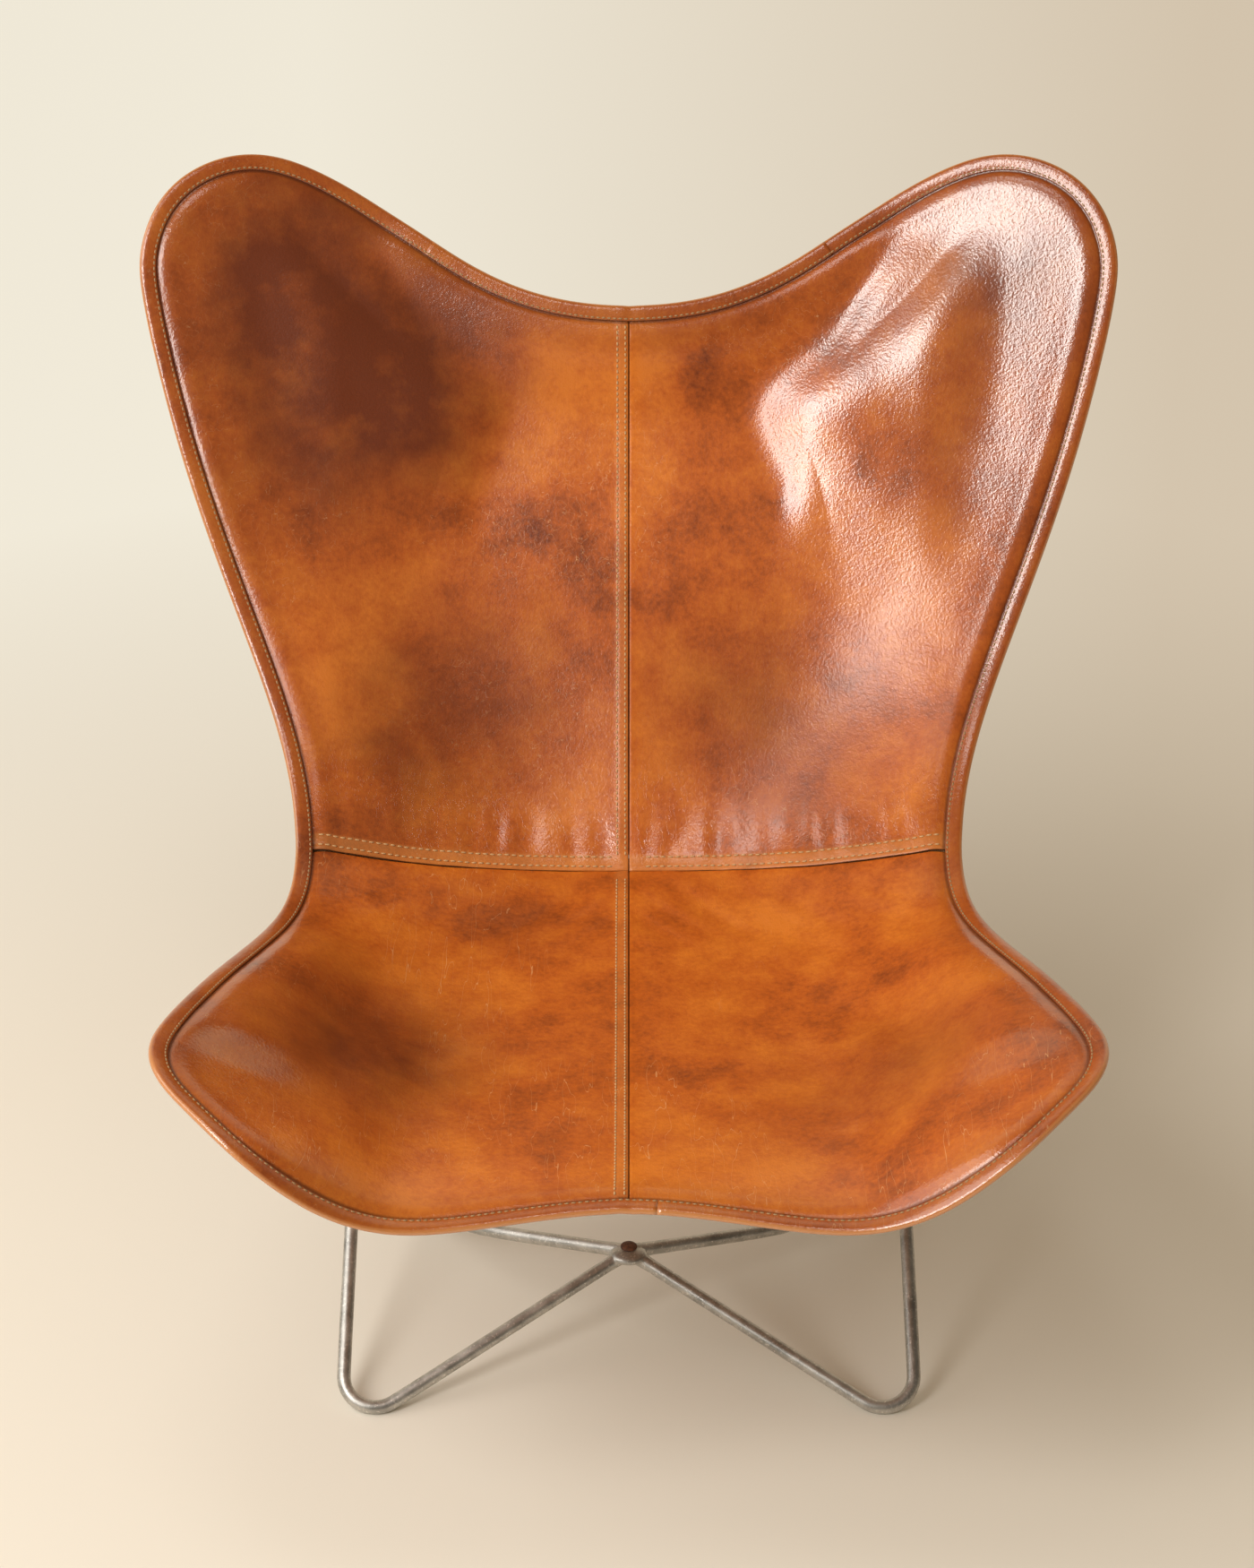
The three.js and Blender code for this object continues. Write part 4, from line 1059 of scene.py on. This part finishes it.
class CHAIR_OT_panels(ChairPart, bpy.types.Operator):
    """Cut and drape the four leather panels of the sling"""

    bl_idname = "chair.panels"
    bl_label = "Drape the Panels"

    def execute(self, context):
        for part in ("back", "seat"):
            for side in ("left", "right"):
                self.drape(part, side)
        return {"FINISHED"}

    @staticmethod
    def drape(part, side):
        """One panel with its thickness."""
        cloth = skin(part, side)
        piece = shown(
            f"{part}_leather_{side}",
            panel_mesh(cloth),
            [panel_leather(), flesh_leather()],
            "leather",
            f"{part}_panel_{side}",
        )
        faces = piece.data.polygons
        facing = sum((f.normal * f.area for f in faces), Vector())
        if facing.dot(Vector(cloth.axes[2])) < 0:
            piece.data.flip_normals()
        wall = {"thickness": sizes().leather, "offset": -1, "material_offset": 1, "material_offset_rim": 0}
        modified(piece, "thickness", "SOLIDIFY", **wall)


class CHAIR_OT_binding(ChairPart, bpy.types.Operator):
    """Fold the leather binding round the sling's edge"""

    bl_idname = "chair.binding"
    bl_label = "Bind the Edge"

    def execute(self, context):
        for node, (line, inward, up) in binding_runs().items():
            section = binding_profile(0.12 if node == "top_binding" else 0.0)
            bm = swept(line, inward, up, section)
            shown(f"{node}_leather", bm, [binding_leather()], "edging", node)
        return {"FINISHED"}


class CHAIR_OT_stitches(ChairPart, bpy.types.Operator):
    """Sew the rows of stitches along the binding and the seams"""

    bl_idname = "chair.stitches"
    bl_label = "Sew the Stitches"

    def execute(self, context):
        thread, pitch = thread_cotton("edge_thread", 0.45), sizes().edge_stitch / MM
        for node, (line, inward, up) in binding_runs().items():
            ahead = headings(line)
            for name, rise in (("upper", EDGE_ROW_RISE), ("lower", -EDGE_ROW_RISE)):
                row = line + inward * EDGE_ROW_INSET + up * rise
                stitch_row(f"{node}_{name}_stitches", row, ahead, up, pitch, thread)
        for part in ("back", "seat"):
            cloth = skin(part, "left")
            for number, gap in enumerate(CENTRE_ROWS):
                name = f"{part}_centre_stitches_{number + 1}"
                self.seam(cloth, cloth.centre, gap, name, sizes().seam_stitch / MM)
        for side in ("left", "right"):
            cloth = skin("back", side)
            for number, gap in enumerate(WAIST_ROWS):
                name = f"waist_stitches_{side}_{number + 1}"
                self.seam(cloth, cloth.waist, gap, name, sizes().waist_stitch / MM)
        return {"FINISHED"}

    @staticmethod
    def seam(cloth, line, gap, name, pitch):
        """One row of stitches beside a seam."""
        q = (line + cloth.inward(line) * gap)[4:-4]
        p, up = cloth.shape(q), cloth.facing(q)
        thread = thread_cotton("sewing_thread", 0.1)
        stitch_row(name, p + up * STITCH_LIFT, headings(p), up, pitch, thread)


class CHAIR_OT_linings(ChairPart, bpy.types.Operator):
    """Sew the pockets that take the rods and the strips under the seams"""

    bl_idname = "chair.linings"
    bl_label = "Sew the Linings"

    def execute(self, context):
        for part, side in CORNERS:
            node = f"{part}_pocket_{side}"
            bm = merged_copy(node)
            bmesh.ops.join_triangles(bm, faces=bm.faces, angle_face_threshold=0.7, angle_shape_threshold=0.9)
            piece = shown(f"{node}_leather", bm, [flesh_leather()], "lining", node)
            modified(
                piece,
                "rounding",
                "BEVEL",
                affect="EDGES",
                width=0.0006,
                segments=2,
                profile=0.5,
                material=-1,
                limit_method="ANGLE",
                angle_limit=math.radians(50),
            )
        self.strip("waist_strip", [("back", "left"), ("back", "right")], "waist")
        self.strip("back_seam_strip", [("back", "left")], "centre")
        self.strip("seat_seam_strip", [("seat", "left")], "centre")
        return {"FINISHED"}

    @staticmethod
    def strip(node, panels, seam):
        """A strip of leather under a seam."""
        runs = []
        for part, side in panels:
            cloth = skin(part, side)
            line = getattr(cloth, seam)[5 if seam == "centre" else 1 : -1]
            p, n = cloth.base(line), cloth.facing(line)
            below = sizes().leather / MM + ROLL_DEPTH + 1.0
            p = p + n * (cloth.relief(line, p, sewn=False) - below)[:, None]
            run = np.hstack([p, n])
            runs.append(run if seam == "centre" or run[0, 0] < run[-1, 0] else run[::-1])
        rows = softened(np.vstack(runs), 4)
        p, n = rows[:, :3], unit(rows[:, 3:])
        ahead = headings(p)
        bm = swept(p, np.cross(ahead, n), n, np.array(STRIP_SECTION))
        shown(f"{node}_leather", bm, [flesh_leather()], "lining", node)


class CHAIR_OT_stage(ChairPart, bpy.types.Operator):
    """Set up the plain floor, the soft lamps and the camera"""

    bl_idname = "chair.stage"
    bl_label = "Set the Stage"

    def execute(self, context):
        scene = context.scene
        settings = studio()
        self.floor()
        world = bpy.data.worlds.new("room")
        scene.world = world
        world.use_nodes = True
        self.light_room(world.node_tree, settings.sky)
        aim = Vector((0, middle_of("lower_hub").y + AIM_FROM_HUB, AIM_HEIGHT))
        for name, power in (("key", settings.key), ("window", settings.fill), ("top", settings.top)):
            self.lamp(name, aim, power)
        self.camera(scene, aim, settings)
        scene.view_settings.view_transform = "Standard"
        return {"FINISHED"}

    @staticmethod
    def floor():
        """A pale paper floor that fades away from the chair into a glow with painted light falloff: lighter
        at the left, dimmer at the right.
        """
        bm = bmesh.new()
        bmesh.ops.create_grid(bm, x_segments=8, y_segments=8, size=14)
        floor = placed("floor", meshed("floor", bm))
        paper = Finish("floor_paper")
        tone = paper.noise(1.3, 2.0)
        pale = tuple(colours().floor)
        paper.set(Base_Color=paper.mixed(tone, shade(pale, 0.97), pale), Roughness=0.9)
        spot = paper.add("ShaderNodeSeparateXYZ", {"Vector": paper.place}).outputs
        middle = {0: paper.place, 1: (0, -0.2, 0)}
        reach = paper.add("ShaderNodeVectorMath", middle, operation="DISTANCE").outputs["Value"]
        far = paper.span(reach, *FLOOR_FADE, 0.0, 0.92)
        across = paper.span(paper.math("DIVIDE", spot["X"], paper.math("ADD", reach, 2.2)), -0.2, 0.2)
        # Painted light falloff: the glow is lighter at the left and dimmer at the right
        ground = paper.ramp(across, [(0.25, FLOOR_PAINTED_LIT), (0.95, FLOOR_PAINTED_DIM)])
        paper.glow(paper.times(far, paper.seen()), ground)
        floor.data.materials.append(paper.material)

    @staticmethod
    def camera(scene, aim, settings):
        """The camera at the photo's viewing angle."""
        data = bpy.data.cameras.new("camera")
        camera = placed("camera", data)
        up, out = math.sin(settings.elevation), math.cos(settings.elevation)
        camera.location = aim + Vector((0, -out, up)) * settings.distance
        camera.rotation_euler = (math.pi / 2 - settings.elevation, 0, 0)
        data.lens = settings.lens
        data.sensor_width = 36
        data.shift_x = CAMERA_SHIFT
        data.clip_end = 60
        scene.camera = camera

    @staticmethod
    def light_room(tree, level):
        """Even light all round; gloss sees a dim room with a pale wall behind the chair."""
        room = Nodes(tree)
        around = room.add("ShaderNodeTexCoord").outputs["Generated"]
        way = room.add("ShaderNodeSeparateXYZ", {"Vector": around}).outputs
        rays = room.add("ShaderNodeLightPath").outputs
        wall = room.span(way["Y"], 0.4, 0.85, level * GLOSS_SHARE, WALL_LIGHT)
        light = room.span(rays["Is Glossy Ray"], 0.0, 1.0, level, wall)
        sky = tree.nodes["Background"].inputs
        room.put(sky["Color"], SKY_COLOUR)
        room.put(sky["Strength"], room.span(rays["Is Camera Ray"], 0.0, 1.0, light, FAR_LIGHT))

    @staticmethod
    def lamp(name, aim, power):
        """A soft lamp turned towards the middle of the chair."""
        place, size = LAMPS[name]
        data = bpy.data.lights.new(name, "AREA")
        data.shape = "RECTANGLE"
        data.size, data.size_y = size
        data.energy = power
        data.color = LAMP_COLOUR
        lamp = placed(name, data)
        lamp.location = aim + Vector(place)
        lamp.rotation_euler = (aim - lamp.location).to_track_quat("-Z", "Y").to_euler()


class CHAIR_PT_sidebar(bpy.types.Panel):
    """The chair's pieces and settings."""

    bl_idname = "CHAIR_PT_sidebar"
    bl_label = "Sling Chair"
    bl_space_type = "VIEW_3D"
    bl_region_type = "UI"
    bl_category = "Sling Chair"

    def draw(self, context):
        for step in STEPS:
            self.layout.operator(step.bl_idname)
        for group in (sizes(), colours(), studio()):
            box = self.layout.box()
            for name in group.__annotations__:
                box.prop(group, name)


GROUPS = {"chair_sizes": ChairSizes, "chair_colours": ChairColours, "chair_studio": ChairStudio}
STEPS = [
    CHAIR_OT_rods,
    CHAIR_OT_hubs,
    CHAIR_OT_panels,
    CHAIR_OT_binding,
    CHAIR_OT_stitches,
    CHAIR_OT_linings,
    CHAIR_OT_stage,
]


def register():
    for cls in (*GROUPS.values(), *STEPS, CHAIR_PT_sidebar):
        bpy.utils.register_class(cls)
    for name, group in GROUPS.items():
        setattr(bpy.types.Scene, name, bpy.props.PointerProperty(type=group))


def unregister():
    for name in GROUPS:
        delattr(bpy.types.Scene, name)
    for cls in reversed((*GROUPS.values(), *STEPS, CHAIR_PT_sidebar)):
        bpy.utils.unregister_class(cls)


def main():
    register()
    bpy.ops.chair.rods()
    bpy.ops.chair.hubs()
    bpy.ops.chair.panels()
    bpy.ops.chair.binding()
    bpy.ops.chair.stitches()
    bpy.ops.chair.linings()
    bpy.ops.chair.stage()


if __name__ == "__main__":
    main()
